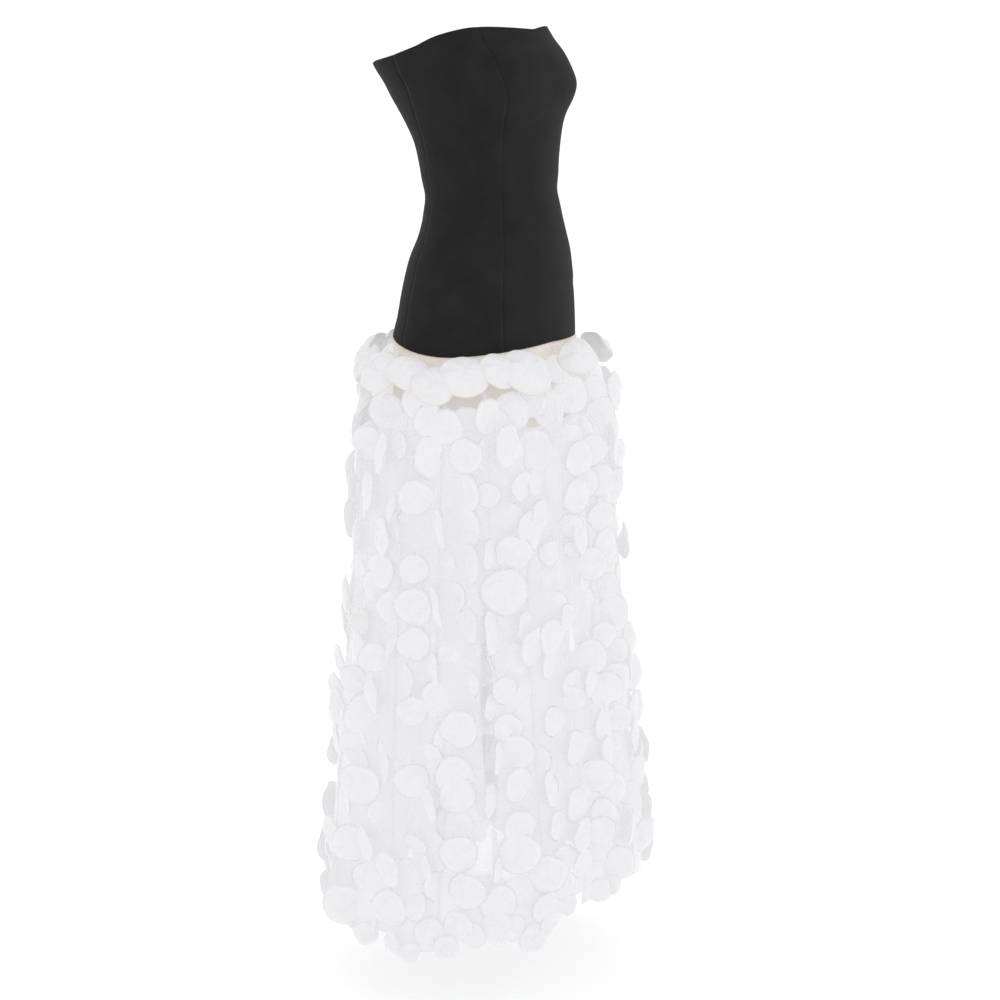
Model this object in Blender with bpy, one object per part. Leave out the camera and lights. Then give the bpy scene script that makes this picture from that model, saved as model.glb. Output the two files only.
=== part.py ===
"""Strapless maxi dress, in its worn shape with nobody in it.

A fitted black bodice of five princess-seamed panels reaches from the bust to the hip. Under its
hem hangs a short nude hip lining, and over the lining a long skirt of sheer strips. Each strip
is a ribbon sewn full of puffed organza discs, so its outer face is a chain of raised rounds over
a plain inside.

Metres, +Z up. The front faces -Y and the wearer's right side is at -X. The origin is the centre
of the waist, where the dress is held. An angle runs round the body from the centre front,
through the wearer's right side, to the centre back at 180 degrees.
"""

import math
from collections import namedtuple

import bpy

# Cloth
BODICE_CLOTH = 0.0020
LINING_CLOTH = 0.0010
RIBBON_CLOTH = 0.0013
SEAM_GAP = 0.0003

# Bodice sections, from the hem at the hip up to the neckline. Depths are from the section's
# middle, which leans back by "lean". Squareness 2 is an ellipse, and more is a flatter front.
Section = namedtuple("Section", "height half_width front back lean squareness")
BODICE_SECTIONS = [
    Section(-0.330, 0.1690, 0.1100, 0.1100, 0.012, 2.0),
    Section(-0.260, 0.1710, 0.1120, 0.1120, 0.012, 2.0),
    Section(-0.198, 0.1690, 0.1130, 0.1130, 0.012, 2.0),
    Section(-0.165, 0.1650, 0.1080, 0.1090, 0.008, 2.0),
    Section(-0.128, 0.1590, 0.1040, 0.1060, 0.005, 2.0),
    Section(-0.085, 0.1470, 0.0990, 0.1020, 0.001, 2.0),
    Section(-0.049, 0.1315, 0.0910, 0.0925, -0.002, 2.0),
    Section(-0.013, 0.1185, 0.0870, 0.0870, -0.001, 2.0),
    Section(0.009, 0.1155, 0.0860, 0.0860, 0.001, 2.0),
    Section(0.044, 0.1175, 0.0905, 0.0905, 0.004, 2.0),
    Section(0.080, 0.1215, 0.0945, 0.0975, 0.007, 2.1),
    Section(0.112, 0.1270, 0.1025, 0.1115, 0.012, 2.2),
    Section(0.141, 0.1325, 0.1125, 0.1315, 0.014, 2.4),
    Section(0.160, 0.1355, 0.1160, 0.1410, 0.017, 2.5),
    Section(0.184, 0.1355, 0.1230, 0.1485, 0.029, 2.4),
    Section(0.203, 0.1325, 0.1245, 0.1480, 0.037, 2.3),
    Section(0.221, 0.1290, 0.1200, 0.1430, 0.045, 2.2),
    Section(0.234, 0.1250, 0.1195, 0.1370, 0.050, 2.1),
    Section(0.252, 0.1210, 0.1155, 0.1300, 0.055, 2.0),
]

# The cups stand a little proud of the sections, each round one bust point.
CUP_ANGLE = math.radians(39.0)
CUP_HEIGHT = 0.156
CUP_RISE = 0.0055
CUP_ANGLE_SPREAD = math.radians(21.0)
CUP_HEIGHT_SPREAD = 0.040

# Edges of the bodice round the body, the same on both sides, but for the top of the left cup.
Edge = namedtuple("Edge", "angle neckline hem")
BODICE_EDGES = [
    Edge(0, 0.2375, -0.2015),
    Edge(45, 0.2420, -0.2070),
    Edge(70, 0.2320, -0.2090),
    Edge(90, 0.2155, -0.2055),
    Edge(110, 0.2010, -0.1990),
    Edge(130, 0.1920, -0.1935),
    Edge(150, 0.1855, -0.1930),
    Edge(180, 0.1850, -0.1940),
]
LEFT_CUP_DROP = 0.005
LEFT_CUP_AT = 42
LEFT_CUP_SPREAD = 30

# The two long seams of each side, as angles at a few heights.
Seam = namedtuple("Seam", "height princess side")
BODICE_SEAMS = [
    Seam(-0.210, 34, 107),
    Seam(-0.100, 37, 109),
    Seam(0.000, 40, 113),
    Seam(0.090, 38, 109),
    Seam(0.156, 38, 107),
    Seam(0.250, 45, 110),
]

# How finely the panels are drawn
BODICE_ROWS = 18
CENTRE_FRONT_COLUMNS = 8
SIDE_FRONT_COLUMNS = 6
BACK_COLUMNS = 7

# Nude hip lining: a short tube in two halves, hung from the bodice hem.
LINING_BELOW_FACE = 0.0008
LINING_BOTTOM = -0.321
LINING_COLUMNS = 22
LINING_ROWS = 3

# Skirt sections that the plain inside of the strips follows.
SkirtSection = namedtuple("SkirtSection", "height half_width half_depth lean")
SKIRT_SECTIONS = [
    SkirtSection(-1.100, 0.264, 0.2260, 0.008),
    SkirtSection(-1.036, 0.260, 0.2220, 0.008),
    SkirtSection(-0.909, 0.253, 0.2140, 0.007),
    SkirtSection(-0.752, 0.242, 0.1970, 0.009),
    SkirtSection(-0.598, 0.231, 0.1830, 0.010),
    SkirtSection(-0.446, 0.220, 0.1700, 0.008),
    SkirtSection(-0.312, 0.209, 0.1570, 0.006),
    SkirtSection(-0.265, 0.201, 0.1480, 0.008),
    SkirtSection(-0.230, 0.196, 0.1420, 0.009),
    SkirtSection(-0.180, 0.190, 0.1340, 0.010),
]

# The strips hang side by side from just under the bodice hem. A strip is a column of discs, each
# on its own six-sided patch of the ribbon, and neighbours are half a disc out of step, so their
# zigzag edges fit into each other. Rows are counted in half discs, from the head down.
STRIPS = 20
HALF_ROWS = 30
STRIPS_EVEN_AT = -0.350
HEAD_BELOW_HEM = 0.003
HEAD_OFF_LINING = 0.0014
PUFF_DROP = 0.050
ZIGZAG = 1 / 6
END_NARROWING = 0.55

# One disc: its radius by size, its crown, and its shoulder inside the rim
LARGE_DISC = 0.0290
SMALL_DISC = 0.0235
DISC_GROWTH = 0.10
DISC_CROWN = 0.0086
SHOULDER = 0.80
SHOULDER_SHARE = 0.74
DISC_SLANT = 0.30
DISC_STRAY = 0.0025
STITCH_DIP = 0.0004

# The top row of discs stands out from the hip like a frill.
FRILL_RADIUS = 0.0315
FRILL_CROWN = 0.0210
FRILL_RISE = 0.0090

# Lower ends of the ribbons round the body
SkirtHem = namedtuple("SkirtHem", "angle height")
SKIRT_HEM = [
    SkirtHem(0, -0.988),
    SkirtHem(27, -1.016),
    SkirtHem(45, -1.032),
    SkirtHem(63, -1.044),
    SkirtHem(81, -1.054),
    SkirtHem(99, -1.054),
    SkirtHem(117, -1.046),
    SkirtHem(150, -1.058),
    SkirtHem(180, -1.064),
]

# Places where two neighbouring strips hang parted: the strip after the slit, the rows where it
# opens and closes, and how wide it gets.
Parting = namedtuple("Parting", "strip top bottom width")
PARTINGS = [
    Parting(3, 12, 28, 0.022),
    Parting(4, 20, 29, 0.014),
    Parting(9, 14, 27, 0.018),
    Parting(15, 17, 28, 0.014),
    Parting(17, 11, 26, 0.020),
]

BLACK_CREPE = ("black_crepe", (0.021, 0.021, 0.022, 1.0), 0.78)
NUDE_LINING = ("nude_lining", (0.62, 0.42, 0.27, 1.0), 0.60)
SHEER_ORGANZA = ("white_organza", (0.86, 0.86, 0.88, 1.0), 0.52)


def between(table, column, at):
    """Reads one column of a table at a place between its rows, along a smooth curve."""
    places = [row[0] for row in table]
    values = [getattr(row, column) for row in table]
    at = min(max(at, places[0]), places[-1])
    last = len(table) - 1
    low = 0
    while low < last - 1 and at > places[low + 1]:
        low += 1

    def slope(row):
        before, after = max(row - 1, 0), min(row + 1, last)
        return (values[after] - values[before]) / (places[after] - places[before])

    span = places[low + 1] - places[low]
    part = (at - places[low]) / span
    start, end = slope(low) * span, slope(low + 1) * span
    rise = values[low + 1] - values[low]
    bend = 3 * rise - 2 * start - end
    turn = start + end - 2 * rise
    return values[low] + part * (start + part * (bend + part * turn))


def folded(angle):
    """The angle from the centre front in degrees, 0 to 180, the same on both sides."""
    degrees = math.degrees(angle) % 360
    return min(degrees, 360 - degrees)


def smooth_step(part):
    part = min(max(part, 0.0), 1.0)
    return part * part * (3 - 2 * part)


def hump(distance, spread):
    return math.exp(-((distance / spread) ** 2))


def bodice_hem(angle):
    return between(BODICE_EDGES, "hem", folded(angle))


def neckline(angle):
    """Height of the top edge. It sits a little lower over the left cup."""
    from_front = (math.degrees(angle) + 180) % 360 - 180
    drop = LEFT_CUP_DROP * hump(from_front + LEFT_CUP_AT, LEFT_CUP_SPREAD)
    return between(BODICE_EDGES, "neckline", folded(angle)) - drop


def torso_point(angle, height):
    """A point of the bodice's outer face."""
    column = {name: between(BODICE_SECTIONS, name, height) for name in Section._fields[1:]}
    across, ahead = math.sin(angle), math.cos(angle)
    depth, fullness = column["back"], 1.0
    if ahead > 0:
        power = column["squareness"]
        depth = column["front"]
        fullness = (abs(across) ** power + ahead**power) ** (-1 / power)
    x = -column["half_width"] * across * fullness
    y = column["lean"] - depth * ahead * fullness
    cup_angle = math.radians(folded(angle)) - CUP_ANGLE
    cup = CUP_RISE * hump(cup_angle, CUP_ANGLE_SPREAD) * hump(height - CUP_HEIGHT, CUP_HEIGHT_SPREAD)
    reach = math.hypot(x, y - column["lean"])
    grow = 1 + cup / reach
    return (x * grow, column["lean"] + (y - column["lean"]) * grow, height)


def moved_out(surface, angle, height, out):
    """The point of a surface at this angle and height, moved out along the surface's normal."""
    turn, climb = 0.002, 0.0005
    left, right = surface(angle - turn, height), surface(angle + turn, height)
    below, above = surface(angle, height - climb), surface(angle, height + climb)
    along = [b - a for a, b in zip(left, right)]
    up = [b - a for a, b in zip(below, above)]
    normal = (
        up[1] * along[2] - up[2] * along[1],
        up[2] * along[0] - up[0] * along[2],
        up[0] * along[1] - up[1] * along[0],
    )
    size = math.sqrt(sum(part * part for part in normal))
    point = surface(angle, height)
    return tuple(p + out * n / size for p, n in zip(point, normal))


def skirt_point(angle, height):
    """A point of the surface that the inside of the strips follows, below the bodice hem."""
    full = smooth_step((bodice_hem(angle) - HEAD_BELOW_HEM - height) / PUFF_DROP)
    hip_width = between(BODICE_SECTIONS, "half_width", height) - LINING_BELOW_FACE + HEAD_OFF_LINING
    hip_depth = between(BODICE_SECTIONS, "front", height) - LINING_BELOW_FACE + HEAD_OFF_LINING
    hip_lean = between(BODICE_SECTIONS, "lean", height)
    width = hip_width + full * (between(SKIRT_SECTIONS, "half_width", height) - hip_width)
    depth = hip_depth + full * (between(SKIRT_SECTIONS, "half_depth", height) - hip_depth)
    lean = hip_lean + full * (between(SKIRT_SECTIONS, "lean", height) - hip_lean)
    return (-width * math.sin(angle), lean - depth * math.cos(angle), height)


def angle_step(surface, angle, height, distance):
    """The change of angle that moves a point this far round the surface."""
    turn = 0.01
    here, there = surface(angle, height), surface(angle + turn, height)
    return distance * turn / math.dist(here, there)


def cloth_material(name, colour, roughness):
    material = bpy.data.materials.get(name)
    if material is None:
        material = bpy.data.materials.new(name)
        material.use_nodes = True
        shader = material.node_tree.nodes["Principled BSDF"]
        shader.inputs["Base Color"].default_value = colour
        shader.inputs["Roughness"].default_value = roughness
        shader.inputs["Metallic"].default_value = 0.0
    return material


def add_piece(name, points, faces, finish, sharp_angle):
    """Makes one named solid from its points and faces, with smooth shading across soft edges."""
    mesh = bpy.data.meshes.new(name)
    mesh.from_pydata(points, [], faces)
    mesh.validate()
    mesh.shade_smooth()
    mesh.set_sharp_from_angle(angle=sharp_angle)
    mesh.materials.append(cloth_material(*finish))
    piece = bpy.data.objects.new(name, mesh)
    bpy.context.scene.collection.objects.link(piece)
    return piece


def walled_sheet(outer, inner):
    """Points and faces of a cloth wall from its outer and inner grids, rows from the top down.

    A row runs with growing angle, which is to the left seen from outside.
    """
    rows, columns = len(outer), len(outer[0])
    points = [point for row in outer for point in row] + [point for row in inner for point in row]
    inside = rows * columns

    def at(row, column):
        return row * columns + column

    faces = []
    for row in range(rows - 1):
        for column in range(columns - 1):
            corners = (at(row, column), at(row, column + 1), at(row + 1, column + 1), at(row + 1, column))
            faces.append(corners)
            faces.append(tuple(inside + corner for corner in reversed(corners)))
    top = [at(0, column) for column in range(columns)]
    end_side = [at(row, columns - 1) for row in range(rows)]
    bottom = [at(rows - 1, column) for column in reversed(range(columns))]
    start_side = [at(row, 0) for row in reversed(range(rows))]
    for edge in (top, end_side, bottom, start_side):
        for here, there in zip(edge, edge[1:]):
            faces.append((there, here, inside + here, inside + there))
    return points, faces


def seam_angle(column, height, side):
    return side * math.radians(between(BODICE_SEAMS, column, height))


def bodice_panel(name, start_seam, end_seam, columns):
    """One panel between two seams, each a function from height to angle."""
    outer, inner = [], []
    for row in range(BODICE_ROWS + 1):
        fall = row / BODICE_ROWS
        outer_row, inner_row = [], []
        for column in range(columns + 1):
            across = column / columns
            # The seams bend with the height, and the height of the edges bends with the angle,
            # so the place is settled in two passes.
            angle = start_seam(0.0) + across * (end_seam(0.0) - start_seam(0.0))
            for _ in range(3):
                height = neckline(angle) + fall * (bodice_hem(angle) - neckline(angle))
                start, end = start_seam(height), end_seam(height)
                gap = angle_step(torso_point, angle, height, SEAM_GAP / 2)
                start, end = start + gap, end - gap
                angle = start + across * (end - start)
            outer_row.append(torso_point(angle, height))
            inner_row.append(moved_out(torso_point, angle, height, -BODICE_CLOTH))
        outer.append(outer_row)
        inner.append(inner_row)
    points, faces = walled_sheet(outer, inner)
    return add_piece(name, points, faces, BLACK_CREPE, math.radians(45))


def build_bodice():
    bodice_panel(
        "bodice_centre_front",
        lambda height: seam_angle("princess", height, -1),
        lambda height: seam_angle("princess", height, 1),
        CENTRE_FRONT_COLUMNS,
    )
    bodice_panel(
        "bodice_side_front_right",
        lambda height: seam_angle("princess", height, 1),
        lambda height: seam_angle("side", height, 1),
        SIDE_FRONT_COLUMNS,
    )
    bodice_panel(
        "bodice_side_front_left",
        lambda height: seam_angle("side", height, -1),
        lambda height: seam_angle("princess", height, -1),
        SIDE_FRONT_COLUMNS,
    )
    bodice_panel(
        "bodice_back_right",
        lambda height: seam_angle("side", height, 1),
        lambda height: math.pi,
        BACK_COLUMNS,
    )
    bodice_panel(
        "bodice_back_left",
        lambda height: -math.pi,
        lambda height: seam_angle("side", height, -1),
        BACK_COLUMNS,
    )


def lining_half(name, start, end):
    """Half of the nude tube, from just under the bodice hem to its own straight edge."""
    outer, inner = [], []
    for row in range(LINING_ROWS + 1):
        fall = row / LINING_ROWS
        outer_row, inner_row = [], []
        for column in range(LINING_COLUMNS + 1):
            angle = start + (end - start) * column / LINING_COLUMNS
            top = bodice_hem(angle) - SEAM_GAP - 0.0001
            height = top + fall * (LINING_BOTTOM - top)
            if column in (0, LINING_COLUMNS):
                gap = angle_step(torso_point, angle, height, SEAM_GAP / 2)
                angle += gap if column == 0 else -gap
            outer_row.append(moved_out(torso_point, angle, height, -LINING_BELOW_FACE))
            inner_row.append(moved_out(torso_point, angle, height, -LINING_BELOW_FACE - LINING_CLOTH))
        outer.append(outer_row)
        inner.append(inner_row)
    points, faces = walled_sheet(outer, inner)
    add_piece(name, points, faces, NUDE_LINING, math.radians(45))


def build_lining():
    quarter = math.pi / 2
    lining_half("hip_lining_front", -quarter, quarter)
    lining_half("hip_lining_back", quarter, 3 * quarter)


def uneven(strip, disc, kind):
    """A fixed irregular number from -1 to 1 for one disc of one strip."""
    wave = math.sin(strip * 12.9898 + disc * 78.233 + kind * 37.719) * 43758.5453
    return 2 * (wave - math.floor(wave)) - 1


def even_angles(count, height, steps=720):
    """Angles that cut the skirt's girth at this height into equal shares, from the centre front."""
    around = [skirt_point(2 * math.pi * step / steps, height) for step in range(steps + 1)]
    covered = [0.0]
    for here, there in zip(around, around[1:]):
        covered.append(covered[-1] + math.dist(here, there))
    angles = [0.0]
    for share in range(1, count):
        wanted = covered[-1] * share / count
        step = next(number for number in range(steps) if covered[number + 1] > wanted)
        part = (wanted - covered[step]) / (covered[step + 1] - covered[step])
        angles.append(2 * math.pi * (step + part) / steps)
    return angles


BOUNDARY_ANGLES = even_angles(STRIPS, STRIPS_EVEN_AT)


def row_height(angle, row):
    """Height of a row of the skirt at this angle. Rows are half discs, from the head down."""
    head = bodice_hem(angle) - HEAD_BELOW_HEM
    hem = between(SKIRT_HEM, "height", folded(angle))
    return head + (hem - head) * row / HALF_ROWS


def on_skirt(angle, row, out, aside=0.0):
    """A point of the skirt at an angle and a row, moved aside and out from the plain inside."""
    turn = angle_step(skirt_point, angle, row_height(angle, row), aside)
    return moved_out(skirt_point, angle + turn, row_height(angle + turn, row), out)


def opening(boundary, row):
    """How far apart two neighbours hang at this row, and how much of the zigzag that straightens."""
    for parting in PARTINGS:
        part = (row - parting.top) / (parting.bottom - parting.top)
        if parting.strip == boundary and 0 < part < 1:
            wide = math.sin(math.pi * part) ** 0.6
            return parting.width * wide, wide
    return 0.0, 0.0


def first_disc_row(strip):
    """Every second strip starts with a bare half patch."""
    return 2 if strip % 2 == 0 else 1


def strip_edge(boundary, row, side, narrowing=1.0):
    """The angle of a strip's edge: side 1 is the strip that starts at the boundary, -1 the one before."""
    middle = BOUNDARY_ANGLES[boundary % STRIPS]
    height = row_height(middle, row)
    pitch = (skirt_pitch(boundary, height) + skirt_pitch(boundary - 1, height)) / 2
    wide, straightened = opening(boundary % STRIPS, row)
    before_is_wide = (row - first_disc_row(boundary - 1)) % 2 == 0
    zigzag = pitch * ZIGZAG * (1 - straightened) * (1 if before_is_wide else -1)
    inset = SEAM_GAP / 2 + wide / 2 + (1 - narrowing) * pitch / 3
    return middle + angle_step(skirt_point, middle, height, zigzag + side * inset)


def skirt_pitch(strip, height):
    """Distance between a strip's two boundaries at this height."""
    start, end = BOUNDARY_ANGLES[strip % STRIPS], BOUNDARY_ANGLES[(strip + 1) % STRIPS]
    return math.dist(skirt_point(start, height), skirt_point(end, height))


class StripMesh:
    """Collects the points and faces of one strip."""

    def __init__(self, strip):
        self.strip = strip
        self.points = []
        self.faces = []

    def add(self, point):
        self.points.append(point)
        return len(self.points) - 1

    def row(self, row, narrowing=1.0):
        """Three points across the outer face and three across the inside, from the start edge."""
        strip = self.strip
        start = strip_edge(strip, row, 1, narrowing)
        end = strip_edge(strip + 1, row, -1, narrowing)
        if end < start:
            end += 2 * math.pi
        middle = (start + end) / 2
        angles = (start, middle, end)
        rims = (RIBBON_CLOTH, RIBBON_CLOTH + STITCH_DIP, RIBBON_CLOTH)
        outer = [self.add(on_skirt(angle, row, out)) for angle, out in zip(angles, rims)]
        inner = [self.add(on_skirt(angle, row, 0.0)) for angle in angles]
        return outer, inner, middle

    def wall(self, upper, lower):
        """The inside and both sides between two rows."""
        (outer_a, inner_a, _), (outer_b, inner_b, _) = upper, lower
        for column in (0, 1):
            self.faces.append((inner_b[column], inner_b[column + 1], inner_a[column + 1], inner_a[column]))
        # Both sides are cut along the same diagonal, so neighbours stay apart where they twist.
        self.faces.append((inner_a[0], outer_a[0], outer_b[0]))
        self.faces.append((inner_a[0], outer_b[0], inner_b[0]))
        self.faces.append((inner_b[2], outer_b[2], inner_a[2]))
        self.faces.append((inner_a[2], outer_b[2], outer_a[2]))

    def plain(self, upper, lower):
        """A stretch of bare ribbon between two rows."""
        self.wall(upper, lower)
        for column in (0, 1):
            here, there = upper[0], lower[0]
            self.faces.append((here[column], here[column + 1], there[column + 1], there[column]))

    def disc(self, upper, middle, lower, row):
        """A puffed disc on the six-sided patch between three rows: shoulder points and a crown."""
        self.wall(upper, middle)
        self.wall(middle, lower)
        strip, angle = self.strip, middle[2]
        frill = row == 1
        cut = LARGE_DISC if uneven(strip, row, 1) > -0.25 else SMALL_DISC
        radius = FRILL_RADIUS if frill else cut * (1 + DISC_GROWTH * row / HALF_ROWS)
        crown = FRILL_CROWN if frill else DISC_CROWN * (1 + 0.2 * uneven(strip, row, 2))
        aside = DISC_STRAY * uneven(strip, row, 3)
        slant_way = math.pi * uneven(strip, row, 4)
        step = abs(row_height(angle, row + 1) - row_height(angle, row))
        ring = []
        for corner in range(6):
            way = math.pi / 3 * corner
            across, up = radius * SHOULDER * math.cos(way), radius * SHOULDER * math.sin(way)
            slant = 1 + DISC_SLANT * uneven(strip, row, 5) * math.cos(way - slant_way)
            out = RIBBON_CLOTH + (crown - RIBBON_CLOTH) * SHOULDER_SHARE * slant
            x, y, z = on_skirt(angle, row - up / step, out, aside + across)
            ring.append(self.add((x, y, z + (FRILL_RISE if frill and up > 0 else 0.0))))
        top = self.add(on_skirt(angle, row, crown, aside))
        start_top, pinch_top, end_top = upper[0]
        start_side, end_side = middle[0][0], middle[0][2]
        start_low, pinch_low, end_low = lower[0]
        east, north_east, north_west, west, south_west, south_east = ring
        self.faces += [
            (end_top, end_side, east, north_east),
            (pinch_top, end_top, north_east),
            (pinch_top, north_east, north_west),
            (start_top, pinch_top, north_west),
            (start_side, start_top, north_west, west),
            (start_low, start_side, west, south_west),
            (pinch_low, start_low, south_west),
            (pinch_low, south_west, south_east),
            (end_low, pinch_low, south_east),
            (end_side, end_low, south_east, east),
        ]
        self.faces += [(top, here, there) for here, there in zip(ring[1:] + ring[:1], ring)]

    def end(self, row, upper):
        outer, inner, _ = row
        across = tuple(reversed(outer)) + tuple(inner)
        self.faces.append(across if upper else tuple(reversed(across)))


def build_strip(strip):
    """One ribbon with its discs, down to its narrowed end."""
    mesh = StripMesh(strip)
    first_disc = first_disc_row(strip)
    last_disc = HALF_ROWS - 2 + first_disc
    rows = [mesh.row(0)]
    if first_disc > 1:
        rows.append(mesh.row(1))
        mesh.plain(rows[0], rows[1])
    for row in range(first_disc, last_disc + 1, 2):
        last = row == last_disc
        side = mesh.row(row, 0.8 if last else 1.0)
        low = mesh.row(row + 1, END_NARROWING if last else 1.0)
        mesh.disc(rows[-1], side, low, row)
        rows.append(low)
    mesh.end(rows[0], True)
    mesh.end(rows[-1], False)
    add_piece(f"skirt_strip_{strip + 1:02d}", mesh.points, mesh.faces, SHEER_ORGANZA, math.radians(60))


def build_skirt():
    for strip in range(STRIPS):
        build_strip(strip)


for old in list(bpy.data.objects):
    bpy.data.objects.remove(old, do_unlink=True)
build_bodice()
build_lining()
build_skirt()
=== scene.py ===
"""Looks of the strapless maxi dress, made piece by piece in the order it is put together.

Metres, +Z up, the front faces -Y and the wearer's right side is at -X. The origin is the centre
of the waist. An angle runs round the body from the centre front, through the wearer's right
side, to the centre back at 180 degrees.
"""

import math
import random
from collections import namedtuple
from functools import cache, partial

import bmesh
import bpy
from mathutils import Matrix, Vector


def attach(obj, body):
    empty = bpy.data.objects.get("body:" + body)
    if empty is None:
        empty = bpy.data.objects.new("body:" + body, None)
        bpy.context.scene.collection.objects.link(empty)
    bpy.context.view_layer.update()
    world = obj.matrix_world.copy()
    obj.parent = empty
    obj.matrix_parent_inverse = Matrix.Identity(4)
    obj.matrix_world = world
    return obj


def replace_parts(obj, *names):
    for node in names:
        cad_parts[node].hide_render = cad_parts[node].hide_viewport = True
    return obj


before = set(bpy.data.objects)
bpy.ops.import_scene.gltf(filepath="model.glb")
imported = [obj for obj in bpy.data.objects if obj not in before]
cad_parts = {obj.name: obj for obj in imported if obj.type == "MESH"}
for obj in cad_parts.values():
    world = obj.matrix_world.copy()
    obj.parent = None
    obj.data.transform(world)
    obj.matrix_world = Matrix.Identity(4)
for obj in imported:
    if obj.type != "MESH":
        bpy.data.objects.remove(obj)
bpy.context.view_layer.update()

# Bodice panels. Five shaped pieces of black crepe, joined by pressed-open seams from the neckline
# to the hip, with the top edge and the hem turned in. They follow the solids' own sections.
Section = namedtuple("Section", "height half_width front back lean squareness")
BODICE_SECTIONS = [
    Section(-0.330, 0.1690, 0.1100, 0.1100, 0.012, 2.0),
    Section(-0.260, 0.1710, 0.1120, 0.1120, 0.012, 2.0),
    Section(-0.198, 0.1690, 0.1130, 0.1130, 0.012, 2.0),
    Section(-0.165, 0.1650, 0.1080, 0.1090, 0.008, 2.0),
    Section(-0.128, 0.1590, 0.1040, 0.1060, 0.005, 2.0),
    Section(-0.085, 0.1470, 0.0990, 0.1020, 0.001, 2.0),
    Section(-0.049, 0.1315, 0.0910, 0.0925, -0.002, 2.0),
    Section(-0.013, 0.1185, 0.0870, 0.0870, -0.001, 2.0),
    Section(0.009, 0.1155, 0.0860, 0.0860, 0.001, 2.0),
    Section(0.044, 0.1175, 0.0905, 0.0905, 0.004, 2.0),
    Section(0.080, 0.1215, 0.0945, 0.0975, 0.007, 2.1),
    Section(0.112, 0.1270, 0.1025, 0.1115, 0.012, 2.2),
    Section(0.141, 0.1325, 0.1125, 0.1315, 0.014, 2.4),
    Section(0.160, 0.1355, 0.1160, 0.1410, 0.017, 2.5),
    Section(0.184, 0.1355, 0.1230, 0.1485, 0.029, 2.4),
    Section(0.203, 0.1325, 0.1245, 0.1480, 0.037, 2.3),
    Section(0.221, 0.1290, 0.1200, 0.1430, 0.045, 2.2),
    Section(0.234, 0.1250, 0.1195, 0.1370, 0.050, 2.1),
    Section(0.252, 0.1210, 0.1155, 0.1300, 0.055, 2.0),
]
CUP_ANGLE, CUP_HEIGHT, CUP_RISE = math.radians(39.0), 0.156, 0.0055
CUP_ANGLE_SPREAD, CUP_HEIGHT_SPREAD = math.radians(21.0), 0.040
Edge = namedtuple("Edge", "angle neckline hem")
BODICE_EDGES = [
    Edge(0, 0.2375, -0.2015),
    Edge(45, 0.2420, -0.2070),
    Edge(70, 0.2320, -0.2090),
    Edge(90, 0.2155, -0.2055),
    Edge(110, 0.2010, -0.1990),
    Edge(130, 0.1920, -0.1935),
    Edge(150, 0.1855, -0.1930),
    Edge(180, 0.1850, -0.1940),
]
LEFT_CUP_DROP, LEFT_CUP_AT, LEFT_CUP_SPREAD = 0.005, 42, 30
Seam = namedtuple("Seam", "height princess side")
BODICE_SEAMS = [
    Seam(-0.210, 34, 107),
    Seam(-0.100, 37, 109),
    Seam(0.000, 40, 113),
    Seam(0.090, 38, 109),
    Seam(0.156, 38, 107),
    Seam(0.250, 45, 110),
]
# Soft creases where the fitted cloth gives: a middle, how far it runs each way, and its depth.
Crease = namedtuple("Crease", "angle height slant length width depth")
BODICE_CREASES = [
    Crease(62, 0.012, 0.10, 0.050, 0.0060, -0.0011),
    Crease(24, -0.006, -0.14, 0.038, 0.0055, -0.0008),
    Crease(95, -0.022, 0.22, 0.042, 0.0065, -0.0010),
    Crease(58, 0.098, 0.35, 0.034, 0.0060, -0.0009),
    Crease(20, 0.104, -0.28, 0.026, 0.0050, -0.0007),
    Crease(75, -0.121, 0.05, 0.055, 0.0080, -0.0010),
    Crease(50, -0.146, -0.04, 0.045, 0.0090, -0.0009),
    Crease(12, -0.100, 0.12, 0.036, 0.0070, -0.0007),
    Crease(140, 0.004, -0.16, 0.046, 0.0120, -0.0009),
    Crease(165, -0.034, 0.10, 0.040, 0.0070, -0.0010),
    Crease(-48, 0.006, 0.12, 0.046, 0.0120, -0.0009),
    Crease(-80, -0.030, -0.20, 0.050, 0.0070, -0.0011),
    Crease(-66, 0.092, -0.30, 0.032, 0.0055, -0.0008),
    Crease(-30, -0.133, 0.06, 0.050, 0.0080, -0.0009),
    Crease(-105, -0.115, -0.10, 0.048, 0.0085, -0.0010),
    Crease(-145, 0.010, 0.18, 0.044, 0.0060, -0.0011),
    Crease(-160, -0.060, -0.08, 0.050, 0.0070, -0.0009),
]
# Creases are measured on a body of one mean radius. Each is a trough with a lower ridge above it.
CREASE_RADIUS, CREASE_REACH, CREASE_BOW = 0.11, 0.06, 0.12
RIDGE_SHARE, RIDGE_AT = 0.7, 1.7
BODICE_CLOTH, BODICE_ROWS, EDGE_TURN_STEPS, SEAM_PASSES = 0.0020, 96, 4, 3
# How much of the outer face's relief shows inside, and the radius that its UV places are read on
INSIDE_RELIEF, BODICE_UV_RADIUS = 0.4, 0.12
# Seams lie in a shallow valley, which fades from the bust down to the waist.
SEAM_VALLEY, SEAM_VALLEY_LOW, SEAM_VALLEY_WIDTH = 0.00045, 0.00008, 0.0014
VALLEY_FADES_TO, VALLEY_FADES_OVER = 0.02, 0.10
# Steps over which a surface's slope is read
NORMAL_TURN, NORMAL_STEP = 0.002, 0.0005


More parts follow.
